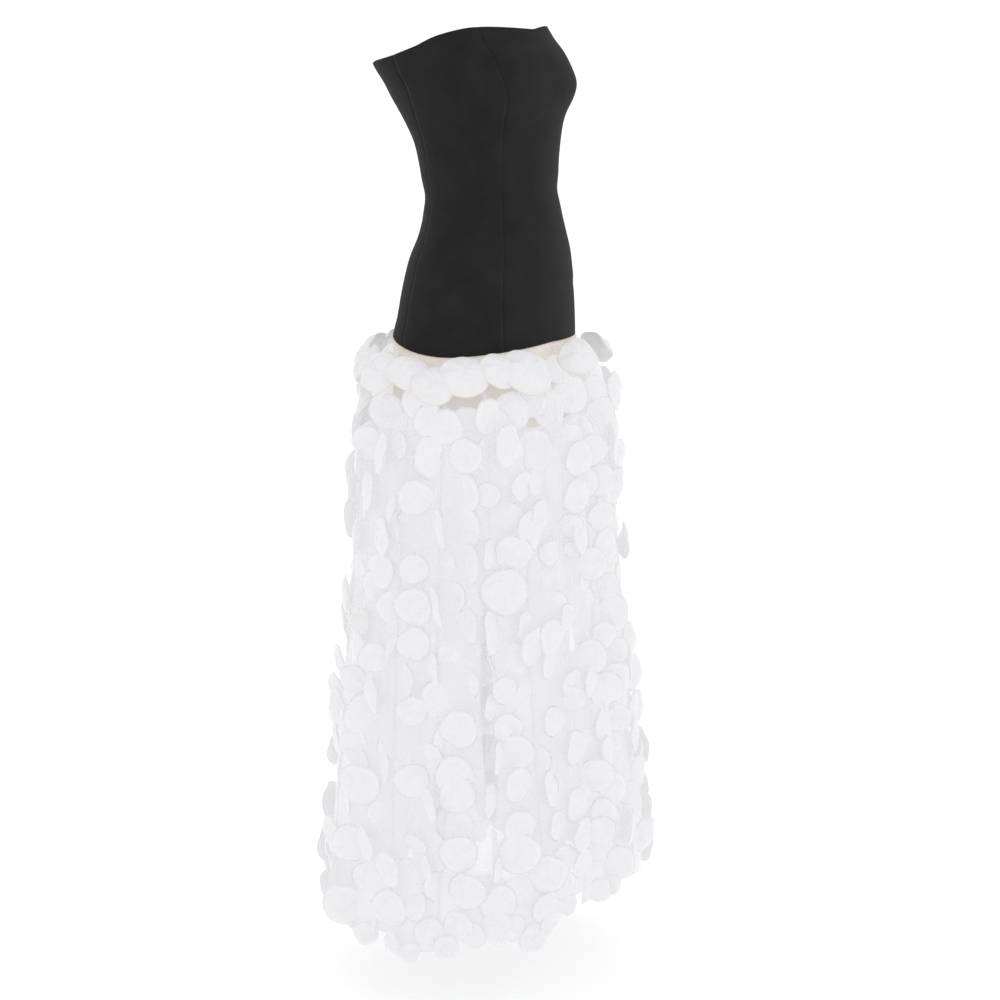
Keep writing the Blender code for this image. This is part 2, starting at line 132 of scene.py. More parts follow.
def between(table, column, at):
    """Reads one column of a table at a place between its rows, along a smooth curve."""
    places = [row[0] for row in table]
    values = [getattr(row, column) for row in table]
    at = min(max(at, places[0]), places[-1])
    last = len(table) - 1
    low = 0
    while low < last - 1 and at > places[low + 1]:
        low += 1

    def slope(row):
        before, after = max(row - 1, 0), min(row + 1, last)
        return (values[after] - values[before]) / (places[after] - places[before])

    span = places[low + 1] - places[low]
    part = (at - places[low]) / span
    start, end = slope(low) * span, slope(low + 1) * span
    rise = values[low + 1] - values[low]
    curve = 3 * rise - 2 * start - end + part * (start + end - 2 * rise)
    return values[low] + part * (start + part * curve)


def folded(angle):
    """The angle from the centre front in degrees, 0 to 180, the same on both sides."""
    degrees = math.degrees(angle) % 360
    return min(degrees, 360 - degrees)


def hump(distance, spread):
    return math.exp(-((distance / spread) ** 2))


def smooth_step(part):
    part = min(max(part, 0.0), 1.0)
    return part * part * (3 - 2 * part)


def bodice_hem(angle):
    return between(BODICE_EDGES, "hem", folded(angle))


def neckline(angle):
    """Height of the top edge. It sits a little lower over the left cup."""
    from_front = (math.degrees(angle) + 180) % 360 - 180
    drop = LEFT_CUP_DROP * hump(from_front + LEFT_CUP_AT, LEFT_CUP_SPREAD)
    return between(BODICE_EDGES, "neckline", folded(angle)) - drop


def torso_point(angle, height):
    """A point of the bodice's outer face."""
    column = {name: between(BODICE_SECTIONS, name, height) for name in Section._fields[1:]}
    across, ahead = math.sin(angle), math.cos(angle)
    depth, fullness = column["back"], 1.0
    if ahead > 0:
        power = column["squareness"]
        depth = column["front"]
        fullness = (abs(across) ** power + ahead**power) ** (-1 / power)
    x = -column["half_width"] * across * fullness
    y = -depth * ahead * fullness
    cup_angle = math.radians(folded(angle)) - CUP_ANGLE
    cup = CUP_RISE * hump(cup_angle, CUP_ANGLE_SPREAD) * hump(height - CUP_HEIGHT, CUP_HEIGHT_SPREAD)
    grow = 1 + cup / math.hypot(x, y)
    return Vector((x * grow, column["lean"] + y * grow, height))


def outward(surface, angle, height):
    """The unit normal of a surface that is a function of angle and height."""
    along = surface(angle + NORMAL_TURN, height) - surface(angle - NORMAL_TURN, height)
    up = surface(angle, height + NORMAL_STEP) - surface(angle, height - NORMAL_STEP)
    return up.cross(along).normalized()


def moved_out(surface, angle, height, out):
    return surface(angle, height) + outward(surface, angle, height) * out


def bodice_relief(angle, height):
    """How far the creases lift or sink the cloth here."""
    lift = 0.0
    for crease in BODICE_CREASES:
        turn = (angle - math.radians(crease.angle) + math.pi) % (2 * math.pi) - math.pi
        along, up = turn * CREASE_RADIUS, height - crease.height
        if abs(along) > 3 * crease.length or abs(up) > CREASE_REACH:
            continue
        across = up - crease.slant * along - CREASE_BOW * along * along / crease.length
        ridge = RIDGE_SHARE * hump(across - RIDGE_AT * crease.width, crease.width)
        lift += crease.depth * hump(along, crease.length) * (hump(across, crease.width) - ridge)
    return lift


def placed(name, data):
    """A new object in the scene."""
    thing = bpy.data.objects.new(name, data)
    bpy.context.scene.collection.objects.link(thing)
    return thing


def cloth_mesh(name, points, faces, uvs):
    """A smooth mesh with one UV place a point."""
    mesh = bpy.data.meshes.new(name)
    mesh.from_pydata(points, [], faces)
    layer = mesh.uv_layers.new(name="cloth")
    for loop in mesh.loops:
        layer.data[loop.index].uv = uvs[loop.vertex_index]
    mesh.shade_smooth()
    return mesh


def add_mesh(name, points, faces, uvs, material):
    """Makes a piece from points, faces and one UV place a point, in metres of cloth."""
    mesh = cloth_mesh(name, points, faces, uvs)
    shape = bmesh.new()
    shape.from_mesh(mesh)
    bmesh.ops.recalc_face_normals(shape, faces=shape.faces)
    shape.to_mesh(mesh)
    shape.free()
    mesh.materials.append(material)
    return placed(name, mesh)


def wall_from_loops(name, loops, uvs, material):
    """A cloth wall from closed loops of points, one loop a column, capped at both ends."""
    size = len(loops[0])
    points = [point for loop in loops for point in loop]
    faces = []
    for column in range(len(loops) - 1):
        here, there = column * size, (column + 1) * size
        for step in range(size):
            after = (step + 1) % size
            faces.append((here + step, there + step, there + after, here + after))
    last = (len(loops) - 1) * size
    for step in range(size // 2 - 1):
        cap = (step, step + 1, size - 2 - step, size - 1 - step)
        faces.append(cap)
        faces.append(tuple(last + corner for corner in reversed(cap)))
    return add_mesh(name, points, faces, [uv for loop in uvs for uv in loop], material)


def fed(tree, node, values):
    """Sets a node's inputs, each from the socket that links to it or from a fixed value."""
    for slot, value in values.items():
        if isinstance(value, bpy.types.NodeSocket):
            tree.links.new(value, node.inputs[slot])
        else:
            node.inputs[slot].default_value = value
    return node


def added(tree, kind, values, **settings):
    """A new node with these settings of its own and these inputs."""
    node = tree.nodes.new(kind)
    for setting, value in settings.items():
        setattr(node, setting, value)
    return fed(tree, node, values)


def node_group(name, kind, inputs, output):
    """A node group with these sockets, by name and type: itself, its inputs and its last node."""
    group = bpy.data.node_groups.new(name, kind + "NodeTree")
    for socket, socket_kind in inputs.items():
        group.interface.new_socket(socket, in_out="INPUT", socket_type="NodeSocket" + socket_kind)
    group.interface.new_socket(output[0], in_out="OUTPUT", socket_type="NodeSocket" + output[1])
    return group, group.nodes.new("NodeGroupInput").outputs, group.nodes.new("NodeGroupOutput")


def new_material(name):
    """A material, its node tree, its shader and its places on the piece."""
    material = bpy.data.materials.new(name)
    material.use_nodes = True
    tree = material.node_tree
    return material, tree, tree.nodes["Principled BSDF"], added(tree, "ShaderNodeTexCoord", {}).outputs


def vector_maths(tree, operation, *values):
    """The outputs of one step of arithmetic on vectors."""
    return added(tree, "ShaderNodeVectorMath", dict(enumerate(values)), operation=operation).outputs


def scaled(tree, vector, scale):
    return added(tree, "ShaderNodeVectorMath", {0: vector, "Scale": scale}, operation="SCALE").outputs[0]


def woven_threads():
    """Node group: height of a plain weave of round threads on a cloth's own UV place."""
    sockets = {"Place": "Vector", "Threads per metre": "Float"}
    group, given, end = node_group("woven_threads", "Shader", sockets, ("Height", "Float"))
    threads = scaled(group, given["Place"], given["Threads per metre"])
    parts = added(group, "ShaderNodeSeparateXYZ", {0: threads}).outputs

    def maths(operation, *values):
        return added(group, "ShaderNodeMath", dict(enumerate(values)), operation=operation).outputs[0]

    def crossed(turns):
        return maths("MULTIPLY", *[maths("SINE", maths("MULTIPLY", parts[axis], turns)) for axis in "XY"])

    # Threads lie two to a turn each way, and where they cross the upper one changes sides.
    fed(group, end, {"Height": maths("ADD", crossed(math.pi), crossed(2 * math.pi))})
    return group


THREADS = woven_threads()


def woven(tree, place, threads):
    """Height of a cloth's weave, by its threads to the metre."""
    values = {"Place": place["UV"], "Threads per metre": threads}
    return added(tree, "ShaderNodeGroup", values, node_tree=THREADS).outputs["Height"]


def noise(tree, place, scale, detail=3.0, roughness=0.55):
    values = {"Vector": place, "Scale": scale, "Detail": detail, "Roughness": roughness}
    return added(tree, "ShaderNodeTexNoise", values).outputs["Fac"]


def ranged(tree, source, low, high, start=0.3, end=0.7):
    """A value from low to high, as its source goes from start to end."""
    values = {"Value": source, "From Min": start, "From Max": end, "To Min": low, "To Max": high}
    return added(tree, "ShaderNodeMapRange", values).outputs["Result"]


def mixed_colour(tree, share, first, second):
    values = {"Factor": share, "A": first, "B": second}
    return added(tree, "ShaderNodeMix", values, data_type="RGBA").outputs["Result"]


def bumped(tree, heights):
    """A chain of bumps from (height socket, depth in metres) pairs."""
    bump = None
    for height, depth in heights:
        values = {"Strength": 1.0, "Distance": depth, "Height": height}
        if bump is not None:
            values["Normal"] = bump
        bump = added(tree, "ShaderNodeBump", values).outputs["Normal"]
    return bump


def black_crepe():
    """Matt crepe with a fine weave, a pebbled grain and faint lighter patches."""
    material, tree, shader, place = new_material("black_crepe")
    patches = noise(tree, place["Object"], scale=24.0, detail=5.0, roughness=0.62)
    grains = noise(tree, place["Object"], scale=1400.0, detail=2.0)
    weave = woven(tree, place, threads=1300.0)
    share = ranged(tree, patches, 0.0, 1.0)
    fed(tree, shader, {
        "Base Color": mixed_colour(tree, share, (0.0115, 0.0113, 0.0114, 1), (0.0190, 0.0187, 0.0188, 1)),
        "Roughness": ranged(tree, patches, 0.74, 0.86),
        "Sheen Weight": 0.07,
        "Sheen Roughness": 0.35,
        "Sheen Tint": (0.55, 0.55, 0.57, 1.0),
        "Specular IOR Level": 0.12,
        "Normal": bumped(tree, [(patches, 0.0006), (weave, 0.00006), (grains, 0.00016)]),
    })
    return material


CREPE = black_crepe()


def seam_angle(seam, side, height):
    return side * (math.pi if seam is None else math.radians(between(BODICE_SEAMS, seam, height)))


def turned_edge(rim, other, way):
    """Points round the turned edge of the cloth, from one face to the other, up or down."""
    middle, side = (rim + other) / 2, (rim - other) / 2
    drop = Vector((0, 0, way * side.length))
    swings = [math.pi * step / EDGE_TURN_STEPS for step in range(1, EDGE_TURN_STEPS)]
    return [middle + side * math.cos(swing) + drop * math.sin(swing) for swing in swings]


def bodice_panel(name, start_seam, end_seam, columns):
    """One panel between two seams, each a function from height to angle."""
    loops, uvs = [], []
    for column in range(columns + 1):
        across = column / columns
        outer, inner, places = [], [], []
        for row in range(BODICE_ROWS + 1):
            fall = row / BODICE_ROWS
            angle = start_seam(0.0) + across * (end_seam(0.0) - start_seam(0.0))
            # Height and angle hang on each other, so they are found in a few passes.
            for _ in range(SEAM_PASSES):
                height = neckline(angle) + fall * (bodice_hem(angle) - neckline(angle))
                start, end = start_seam(height), end_seam(height)
                angle = start + across * (end - start)
            point = torso_point(angle, height)
            radius = math.hypot(point.x, point.y)
            to_seam = min(angle - start, end - angle) * radius
            normal = outward(torso_point, angle, height)
            fade = smooth_step((height - VALLEY_FADES_TO) / VALLEY_FADES_OVER)
            valley = SEAM_VALLEY_LOW + (SEAM_VALLEY - SEAM_VALLEY_LOW) * fade
            lift = bodice_relief(angle, height) - valley * hump(to_seam, SEAM_VALLEY_WIDTH)
            outer.append(point + normal * lift)
            inner.append(point + normal * (lift * INSIDE_RELIEF - BODICE_CLOTH))
            places.append((angle * BODICE_UV_RADIUS, height))
        hem_turn, top_turn = turned_edge(outer[-1], inner[-1], -1), turned_edge(inner[0], outer[0], 1)
        loop = outer + hem_turn + inner[::-1] + top_turn
        uv = places + places[-1:] * len(hem_turn) + places[::-1] + places[:1] * len(top_turn)
        # The loop starts in the turned top edge, so that its halves are the faces of the cloth.
        first = 1 - EDGE_TURN_STEPS // 2
        loops.append(loop[first:] + loop[:first])
        uvs.append(uv[first:] + uv[:first])
    piece = wall_from_loops(name, loops, uvs, CREPE)
    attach(piece, "root")
    return piece


# Each panel runs from one seam to the next: a side of the body, 1 for the wearer's right, and a
# seam, or none for the centre back. The cut is its width, length and area.
Panel = namedtuple("Panel", "name start_side start_seam end_side end_seam columns cut")
PANELS = [
    Panel("centre_front", -1, "princess", 1, "princess", 36, (0.185, 0.470, 0.0825)),
    Panel("side_front_right", 1, "princess", 1, "side", 30, (0.170, 0.470, 0.0618)),
    Panel("side_front_left", -1, "side", -1, "princess", 30, (0.170, 0.470, 0.0618)),
    Panel("back_right", 1, "side", 1, None, 34, (0.200, 0.420, 0.0633)),
    Panel("back_left", -1, None, -1, "side", 34, (0.200, 0.420, 0.0633)),
]
for panel in PANELS:
    piece = bodice_panel(
        f"crepe_{panel.name}",
        partial(seam_angle, panel.start_seam, panel.start_side),
        partial(seam_angle, panel.end_seam, panel.end_side),
        panel.columns,
    )
    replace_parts(piece, f"bodice_{panel.name}")

# Hip lining. A short tube of smooth nude cloth in a front and a back half, hung from the inside of
# the bodice hem. Its upper edge peeps out as a fine line, and its raw lower edge lies on the hip.
LINING_CLOTH, LINING_BELOW_FACE, LINING_BOTTOM = 0.0010, 0.0008, -0.321
LINING_PEEP, LINING_SWAY, LINING_WAVES = 0.0004, 0.0004, (9, 21)
LINING_COLUMNS, LINING_ROWS, LINING_UV_RADIUS = 90, 26, 0.15


def nude_cloth():
    """Smooth lining with a fine weave, a slight sheen and soft unevenness."""
    material, tree, shader, place = new_material("nude_lining")
    patches = noise(tree, place["Object"], scale=30.0)
    weave = woven(tree, place, threads=1600.0)
    share = ranged(tree, patches, 0.0, 1.0)
    fed(tree, shader, {
        "Base Color": mixed_colour(tree, share, (0.80, 0.71, 0.60, 1), (0.86, 0.78, 0.68, 1)),
        "Roughness": ranged(tree, patches, 0.55, 0.66),
        "Sheen Weight": 0.15,
        "Normal": bumped(tree, [(patches, 0.0010), (weave, 0.00005)]),
    })
    return material


NUDE = nude_cloth()


def hip_lining(name, start, end):
    """Half of the lining, from one angle to another."""
    loops, uvs = [], []
    for column in range(LINING_COLUMNS + 1):
        angle = start + (end - start) * column / LINING_COLUMNS
        top = bodice_hem(angle) - LINING_PEEP
        outer, inner, places = [], [], []
        for row in range(LINING_ROWS + 1):
            height = top + (LINING_BOTTOM - top) * row / LINING_ROWS
            waves = math.sin(LINING_WAVES[0] * angle + LINING_WAVES[1] * height)
            out = LINING_SWAY * waves * row / LINING_ROWS - LINING_BELOW_FACE
            outer.append(moved_out(torso_point, angle, height, out))
            inner.append(moved_out(torso_point, angle, height, out - LINING_CLOTH))
            places.append((angle * LINING_UV_RADIUS, height))
        loops.append(outer + inner[::-1])
        uvs.append(places + places[::-1])
    piece = wall_from_loops(name, loops, uvs, NUDE)
    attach(piece, "root")
    return piece


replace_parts(hip_lining("lining_front", -math.pi / 2, math.pi / 2), "hip_lining_front")
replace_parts(hip_lining("lining_back", math.pi / 2, 3 * math.pi / 2), "hip_lining_back")

# Skirt ribbons. Twenty strips of sheer organza, cut straight, whose heads are sewn on the lining
# just under the bodice hem. They hang side by side, part in a few places, and carry the discs.
SkirtSection = namedtuple("SkirtSection", "height half_width half_depth lean")
SKIRT_SECTIONS = [
    SkirtSection(-1.100, 0.264, 0.2260, 0.008),
    SkirtSection(-1.036, 0.260, 0.2220, 0.008),
    SkirtSection(-0.909, 0.253, 0.2140, 0.007),
    SkirtSection(-0.752, 0.242, 0.1970, 0.009),
    SkirtSection(-0.598, 0.231, 0.1830, 0.010),
    SkirtSection(-0.446, 0.220, 0.1700, 0.008),
    SkirtSection(-0.312, 0.209, 0.1570, 0.006),
    SkirtSection(-0.265, 0.201, 0.1480, 0.008),
    SkirtSection(-0.230, 0.196, 0.1420, 0.009),
    SkirtSection(-0.180, 0.190, 0.1340, 0.010),
]
STRIPS, HALF_ROWS, STRIPS_EVEN_AT, SMALL_TURN = 20, 30, -0.350, 0.01
HEAD_BELOW_HEM, HEAD_OFF_LINING, PUFF_DROP = 0.003, 0.0014, 0.050
SkirtHem = namedtuple("SkirtHem", "angle height")
SKIRT_HEM = [
    SkirtHem(0, -0.988),
    SkirtHem(27, -1.016),
    SkirtHem(45, -1.032),
    SkirtHem(63, -1.044),
    SkirtHem(81, -1.054),
    SkirtHem(99, -1.054),
    SkirtHem(117, -1.046),
    SkirtHem(150, -1.058),
    SkirtHem(180, -1.064),
]
Parting = namedtuple("Parting", "strip top bottom width")
PARTINGS = [
    Parting(3, 12, 24, 0.022),
    Parting(4, 18, 25, 0.014),
    Parting(9, 14, 27, 0.018),
    Parting(15, 17, 28, 0.014),
    Parting(17, 11, 26, 0.020),
]
PARTING_SHAPE = 0.6
RIBBON_CLOTH, RIBBON_OVERLAP = 0.0003, 0.004
RIBBON_ROWS, RIBBON_COLUMNS = 110, 10
# How far off the surface the lower ribbons hang, how much further the upper ones, and their waves
RIBBON_OFF, RIBBON_LAP, RIBBON_SWING = 0.0006, 0.0022, (0.0006, 0.0013)
WAVE_PER_ROW, WAVE_SLANT, WAVE_SHARE, WAVE_FROM_ROW = 0.9, 0.8, 0.6, 3
ROWS_SHORT, ROWS_LONGER = 0.7, 0.8
RIBBON_SEED, ANY_PHASE = 100, (0, 6.28)
# The cover of the net: on most of the length, at the head where it is thinnest, and what is added
# at the hem, with the heights between which it changes.
NET_COVER, HEAD_COVER, HEM_ADDS, COVER_STRAYS = 0.50, 0.18, 0.42, 0.02
RIBBON_THINS, RIBBON_DOUBLES = (-0.345, -0.290), (-0.930, -0.990)
# Strength of the organza's painted glow, how far its painted light comes from above, and the cool of its
# white
ORGANZA_PAINTED_GLOW, PAINTED_LIGHT_RISE, COOL = 1.75, 0.25, 1.02


def skirt_point(angle, height):
    """A point of the surface that the ribbons follow."""
    full = smooth_step((bodice_hem(angle) - HEAD_BELOW_HEM - height) / PUFF_DROP)
    hip_out = HEAD_OFF_LINING - LINING_BELOW_FACE
    width = between(BODICE_SECTIONS, "half_width", height) + hip_out
    depth = between(BODICE_SECTIONS, "front", height) + hip_out
    lean = between(BODICE_SECTIONS, "lean", height)
    width += full * (between(SKIRT_SECTIONS, "half_width", height) - width)
    depth += full * (between(SKIRT_SECTIONS, "half_depth", height) - depth)
    lean += full * (between(SKIRT_SECTIONS, "lean", height) - lean)
    return Vector((-width * math.sin(angle), lean - depth * math.cos(angle), height))


def even_angles(count, height, steps=720):
    """Angles that cut the skirt's girth at this height into equal shares, from the centre front."""
    around = [skirt_point(2 * math.pi * step / steps, height) for step in range(steps + 1)]
    covered = [0.0]
    for here, there in zip(around, around[1:]):
        covered.append(covered[-1] + (there - here).length)
    angles = [0.0]
    for share in range(1, count):
        wanted = covered[-1] * share / count
        step = next(number for number in range(steps) if covered[number + 1] > wanted)
        part = (wanted - covered[step]) / (covered[step + 1] - covered[step])
        angles.append(2 * math.pi * (step + part) / steps)
    return angles + [2 * math.pi]


BOUNDARIES = even_angles(STRIPS, STRIPS_EVEN_AT)


def row_height(angle, row):
    """Height of a row of the skirt at this angle. Rows are half discs, from the head down."""
    head = bodice_hem(angle) - HEAD_BELOW_HEM
    return head + (between(SKIRT_HEM, "height", folded(angle)) - head) * row / HALF_ROWS


def turned_by(angle, height, distance):
    """The angle that is this far round the skirt from another."""
    reach = (skirt_point(angle + SMALL_TURN, height) - skirt_point(angle, height)).length
    return angle + distance * SMALL_TURN / reach


def opening(boundary, row):
    """How far apart two neighbours hang at this row."""
    for parting in PARTINGS:
        part = (row - parting.top) / (parting.bottom - parting.top)
        if parting.strip == boundary % STRIPS and 0 < part < 1:
            return parting.width * math.sin(math.pi * part) ** PARTING_SHAPE
    return 0.0


def cool_white(tone):
    return (tone, tone, tone * COOL, 1.0)


def light_in_cloth():
    """Node group: painted glow and shade in thin cloth, by how far each face looks out and up."""
    sockets = {
        "Place": "Vector",
        "Normal": "Vector",
        "Tone": "Color",
        "Inside tone": "Color",
        "Dim at": "Float",
        "Bright at": "Float",
    }
    group, given, end = node_group("light_in_cloth", "Shader", sockets, ("Light", "Color"))
    level = vector_maths(group, "MULTIPLY", given["Place"], (1.0, 1.0, 0.0))["Vector"]
    outward_way = vector_maths(group, "NORMALIZE", level)["Vector"]
    raised = vector_maths(group, "ADD", outward_way, (0.0, 0.0, PAINTED_LIGHT_RISE))["Vector"]
    facing = vector_maths(group, "DOT_PRODUCT", raised, given["Normal"])["Value"]
    share = ranged(group, facing, 0.0, 1.0, given["Dim at"], given["Bright at"])
    fed(group, end, {"Light": mixed_colour(group, share, given["Inside tone"], given["Tone"])})
    return group


PAINTED_LIGHT_BY_FACING = light_in_cloth()


def painted_facing_glow(tree, place, tone, inside, turns):
    """The painted glow that this cloth gives off. Turns say which faces get painted shade and which
    painted light.
    """
    values = {
        "Place": place["Object"],
        "Normal": place["Normal"],
        "Tone": tone,
        "Inside tone": cool_white(inside),
        "Dim at": turns[0],
        "Bright at": turns[1],
    }
    return added(tree, "ShaderNodeGroup", values, node_tree=PAINTED_LIGHT_BY_FACING).outputs["Light"]


def sheer_organza():
    """Ribbon cloth: fine white threads with open air between them, with painted light from behind."""
    material, tree, shader, place = new_material("sheer_organza")
    streaks = added(tree, "ShaderNodeMapping", {"Vector": place["UV"], "Scale": (60.0, 3.5, 1.0)})
    fibres = noise(tree, streaks.outputs["Vector"], scale=1.0, detail=1.0)
    share = ranged(tree, fibres, 0.0, 1.0)
    tone = mixed_colour(tree, share, (0.298, 0.298, 0.305, 1), (0.306, 0.306, 0.313, 1))
    height = added(tree, "ShaderNodeSeparateXYZ", {0: place["Object"]}).outputs["Z"]
    cover = ranged(tree, fibres, -COVER_STRAYS, COVER_STRAYS)
    for change in (
        ranged(tree, height, NET_COVER, HEAD_COVER, *RIBBON_THINS),
        ranged(tree, height, 0.0, HEM_ADDS, *RIBBON_DOUBLES),
    ):
        cover = added(tree, "ShaderNodeMath", {0: cover, 1: change}, operation="ADD").outputs[0]
    fed(tree, shader, {
        "Base Color": tone,
        "Roughness": ranged(tree, fibres, 0.46, 0.60),
        "Alpha": cover,
        # Its dim base colour is made up by a painted glow, lighter on faces that look out and up, painted
        # shade on faces turned in.
        "Emission Color": painted_facing_glow(tree, place, tone, inside=0.262, turns=(-0.4, 0.3)),
        "Emission Strength": ORGANZA_PAINTED_GLOW,
        "Normal": bumped(tree, [(woven(tree, place, threads=2200.0), 0.00002)]),
    })
    return material


SHEER = sheer_organza()


def ribbon(strip):
    """One ribbon, hanging from its head with soft lengthwise waves. Every second one lies on top."""
    chance = random.Random(RIBBON_SEED + strip)
    left, right = BOUNDARIES[strip], BOUNDARIES[strip + 1]
    middle_angle = (left + right) / 2
    phase, swing = chance.uniform(*ANY_PHASE), chance.uniform(*RIBBON_SWING)
    end_row = HALF_ROWS - ROWS_SHORT + (0.0 if strip % 2 else ROWS_LONGER)
    loops, uvs = [], []
    for column in range(RIBBON_COLUMNS + 1):
        across = column / RIBBON_COLUMNS * 2 - 1
        outer, inner, places = [], [], []
        for row_step in range(RIBBON_ROWS + 1):
            row = end_row * row_step / RIBBON_ROWS
            height = row_height(middle_angle, row)
            inset = opening(strip, row) / 2 * (across < 0) + opening(strip + 1, row) / 2 * (across > 0)
            pitch = (skirt_point(right, height) - skirt_point(left, height)).length
            half = pitch / 2 + RIBBON_OVERLAP * (1 if inset == 0 else 0) - inset
            angle = turned_by(middle_angle, height, across * half)
            height = row_height(angle, row)
            wave = math.sin(row * WAVE_PER_ROW + phase + across * WAVE_SLANT)
            wave *= smooth_step(row / WAVE_FROM_ROW)
            out = RIBBON_OFF + RIBBON_LAP * (strip % 2) + swing * (1 + wave * WAVE_SHARE)
            outer.append(moved_out(skirt_point, angle, height, out))
            inner.append(moved_out(skirt_point, angle, height, out - RIBBON_CLOTH))
            places.append((across * half, height))
        loops.append(outer + inner[::-1])
        uvs.append(places + places[::-1])
    piece = wall_from_loops(f"ribbon_{strip + 1:02d}", loops, uvs, SHEER)
    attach(piece, "root")
    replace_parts(piece, f"skirt_strip_{strip + 1:02d}")
    return piece


ribbons = [ribbon(strip) for strip in range(STRIPS)]

# Organza discs. Each is two rounds of organza sewn together at the rim and puffed, and hangs by a
# tack from its ribbon, in front of it or behind it. Some face forward, some hang edge-on, and the
# large ones of the top row crowd each other and stand out from the hip like a frill.
Form = namedtuple("Form", "name puff bend bend_way pucker crease flare gather")
FORMS = [
    Form("a_round", 0.23, 0.25, 0.3, 0.09, 0.00, 0.00, 0.00),
    Form("b_creased", 0.22, 0.40, 1.1, 0.09, 0.09, 0.00, 0.00),
    Form("c_saddle", 0.20, 0.80, 2.2, 0.09, 0.04, 0.10, 0.00),
    Form("d_leaf", 0.12, 0.50, 1.5, 0.05, 0.02, 0.00, 0.00),
    Form("e_flat", 0.15, -0.35, 0.0, 0.06, 0.05, 0.00, 0.00),
    Form("f_pillow", 0.46, 0.45, 0.1, 0.07, 0.02, 0.00, 0.07),
    Form("g_folded", 0.38, 1.10, 1.3, 0.09, 0.06, 0.20, 0.09),
    Form("h_cone", 0.30, 1.90, 0.9, 0.08, 0.03, 0.30, 0.08),
]


# The swell of a disc's faces, and the share of it on the back. Each wave of the pucker has a
# depth against it and a number round the disc. Folds spread from a tack near the top.
DOME_FALL, DOME_EDGE, BACK_SWELL = 2.2, 0.9, 0.7
RIM_WAVE, BELLY_WAVE, RING_WAVE, BENT_WAVE = (0.5, 3), (2.4, 5), (3.0, 9), (0.6, 4)
CREASE_TURN, CREASE_WIDTH = 0.9, 0.16
TACK_UP, FOLDS_MEET_UP, FOLDS = 0.9, 0.95, 7


def disc_form(form, segments, rings, seed):
    """Points, faces and UVs of one puffed disc of radius 1, facing +Z, its up along +Y."""
    chance = random.Random(seed)
    phases = [chance.uniform(*ANY_PHASE) for _ in range(4)]

    def pucker(wave, way, phase):
        depth, number = wave
        return form.pucker * depth * math.sin(number * way + phase)

    def place(radius, way, side):
        x, y = radius * math.cos(way), radius * math.sin(way)
        rim = 1 + pucker(RIM_WAVE, way, phases[0])
        x, y = x * rim, y * rim
        swell = form.puff * max(1 - radius**DOME_FALL, 0.0) ** DOME_EDGE
        swell *= 1 + pucker(BELLY_WAVE, way, phases[1]) * radius
        swell *= 1 + pucker(RING_WAVE, way, phases[3]) * radius * (1 - radius)
        z = side * swell * (1.0 if side > 0 else BACK_SWELL)
        z += pucker(BENT_WAVE, way, phases[2]) * radius**3
        crease_way = form.bend_way + CREASE_TURN
        along = x * math.cos(crease_way) + y * math.sin(crease_way)
        z -= form.crease * hump(along, CREASE_WIDTH) * (1 - radius)
        fold = math.sin(FOLDS * math.atan2(x, FOLDS_MEET_UP - y) + phases[0])
        z += form.gather * fold * smooth_step(math.hypot(x, y - TACK_UP))
        a, b = math.cos(form.bend_way), math.sin(form.bend_way)
        u, v = x * a + y * b, -x * b + y * a
        curve = form.bend * (1 + form.flare * 2 * v) / 2
        lift = z
        z = lift * math.cos(curve * u) - (1 - math.cos(curve * u)) / curve
        u = math.sin(curve * u) / curve + lift * math.sin(curve * u)
        return (u * a - v * b, u * b + v * a, z)

    points, uvs, faces = [], [], []
    for side in (1, -1):
        points.append(place(0.0, 0.0, side))
        uvs.append((0.0, 0.0))
    for side in (1, -1):
        for radius in rings[:-1]:
            for step in range(segments):
                way = 2 * math.pi * step / segments
                points.append(place(radius, way, side))
                uvs.append((radius * math.cos(way), radius * math.sin(way)))
    for step in range(segments):
        way = 2 * math.pi * step / segments
        points.append(place(1.0, way, 1))
        uvs.append((math.cos(way), math.sin(way)))
    inner_rings = len(rings) - 1
    rim_start = 2 + 2 * inner_rings * segments
    for side, first in ((1, 2), (-1, 2 + inner_rings * segments)):
        starts = [first + ring * segments for ring in range(inner_rings)] + [rim_start]
        for step in range(segments):
            after = (step + 1) % segments
            fan = (0 if side > 0 else 1, starts[0] + step, starts[0] + after)
            faces.append(fan if side > 0 else fan[::-1])
            for near, far in zip(starts, starts[1:]):
                quad = (near + step, far + step, far + after, near + after)
                faces.append(quad if side > 0 else quad[::-1])
    return points, faces, uvs


def form_collection(name, segments, rings):
    """Loose mesh objects that the discs are copied from."""
    group = bpy.data.collections.new(name)
    for number, form in enumerate(FORMS):
        mesh = cloth_mesh(f"{name}_{form.name}", *disc_form(form, segments, rings, number))
        group.objects.link(bpy.data.objects.new(mesh.name, mesh))
    return group


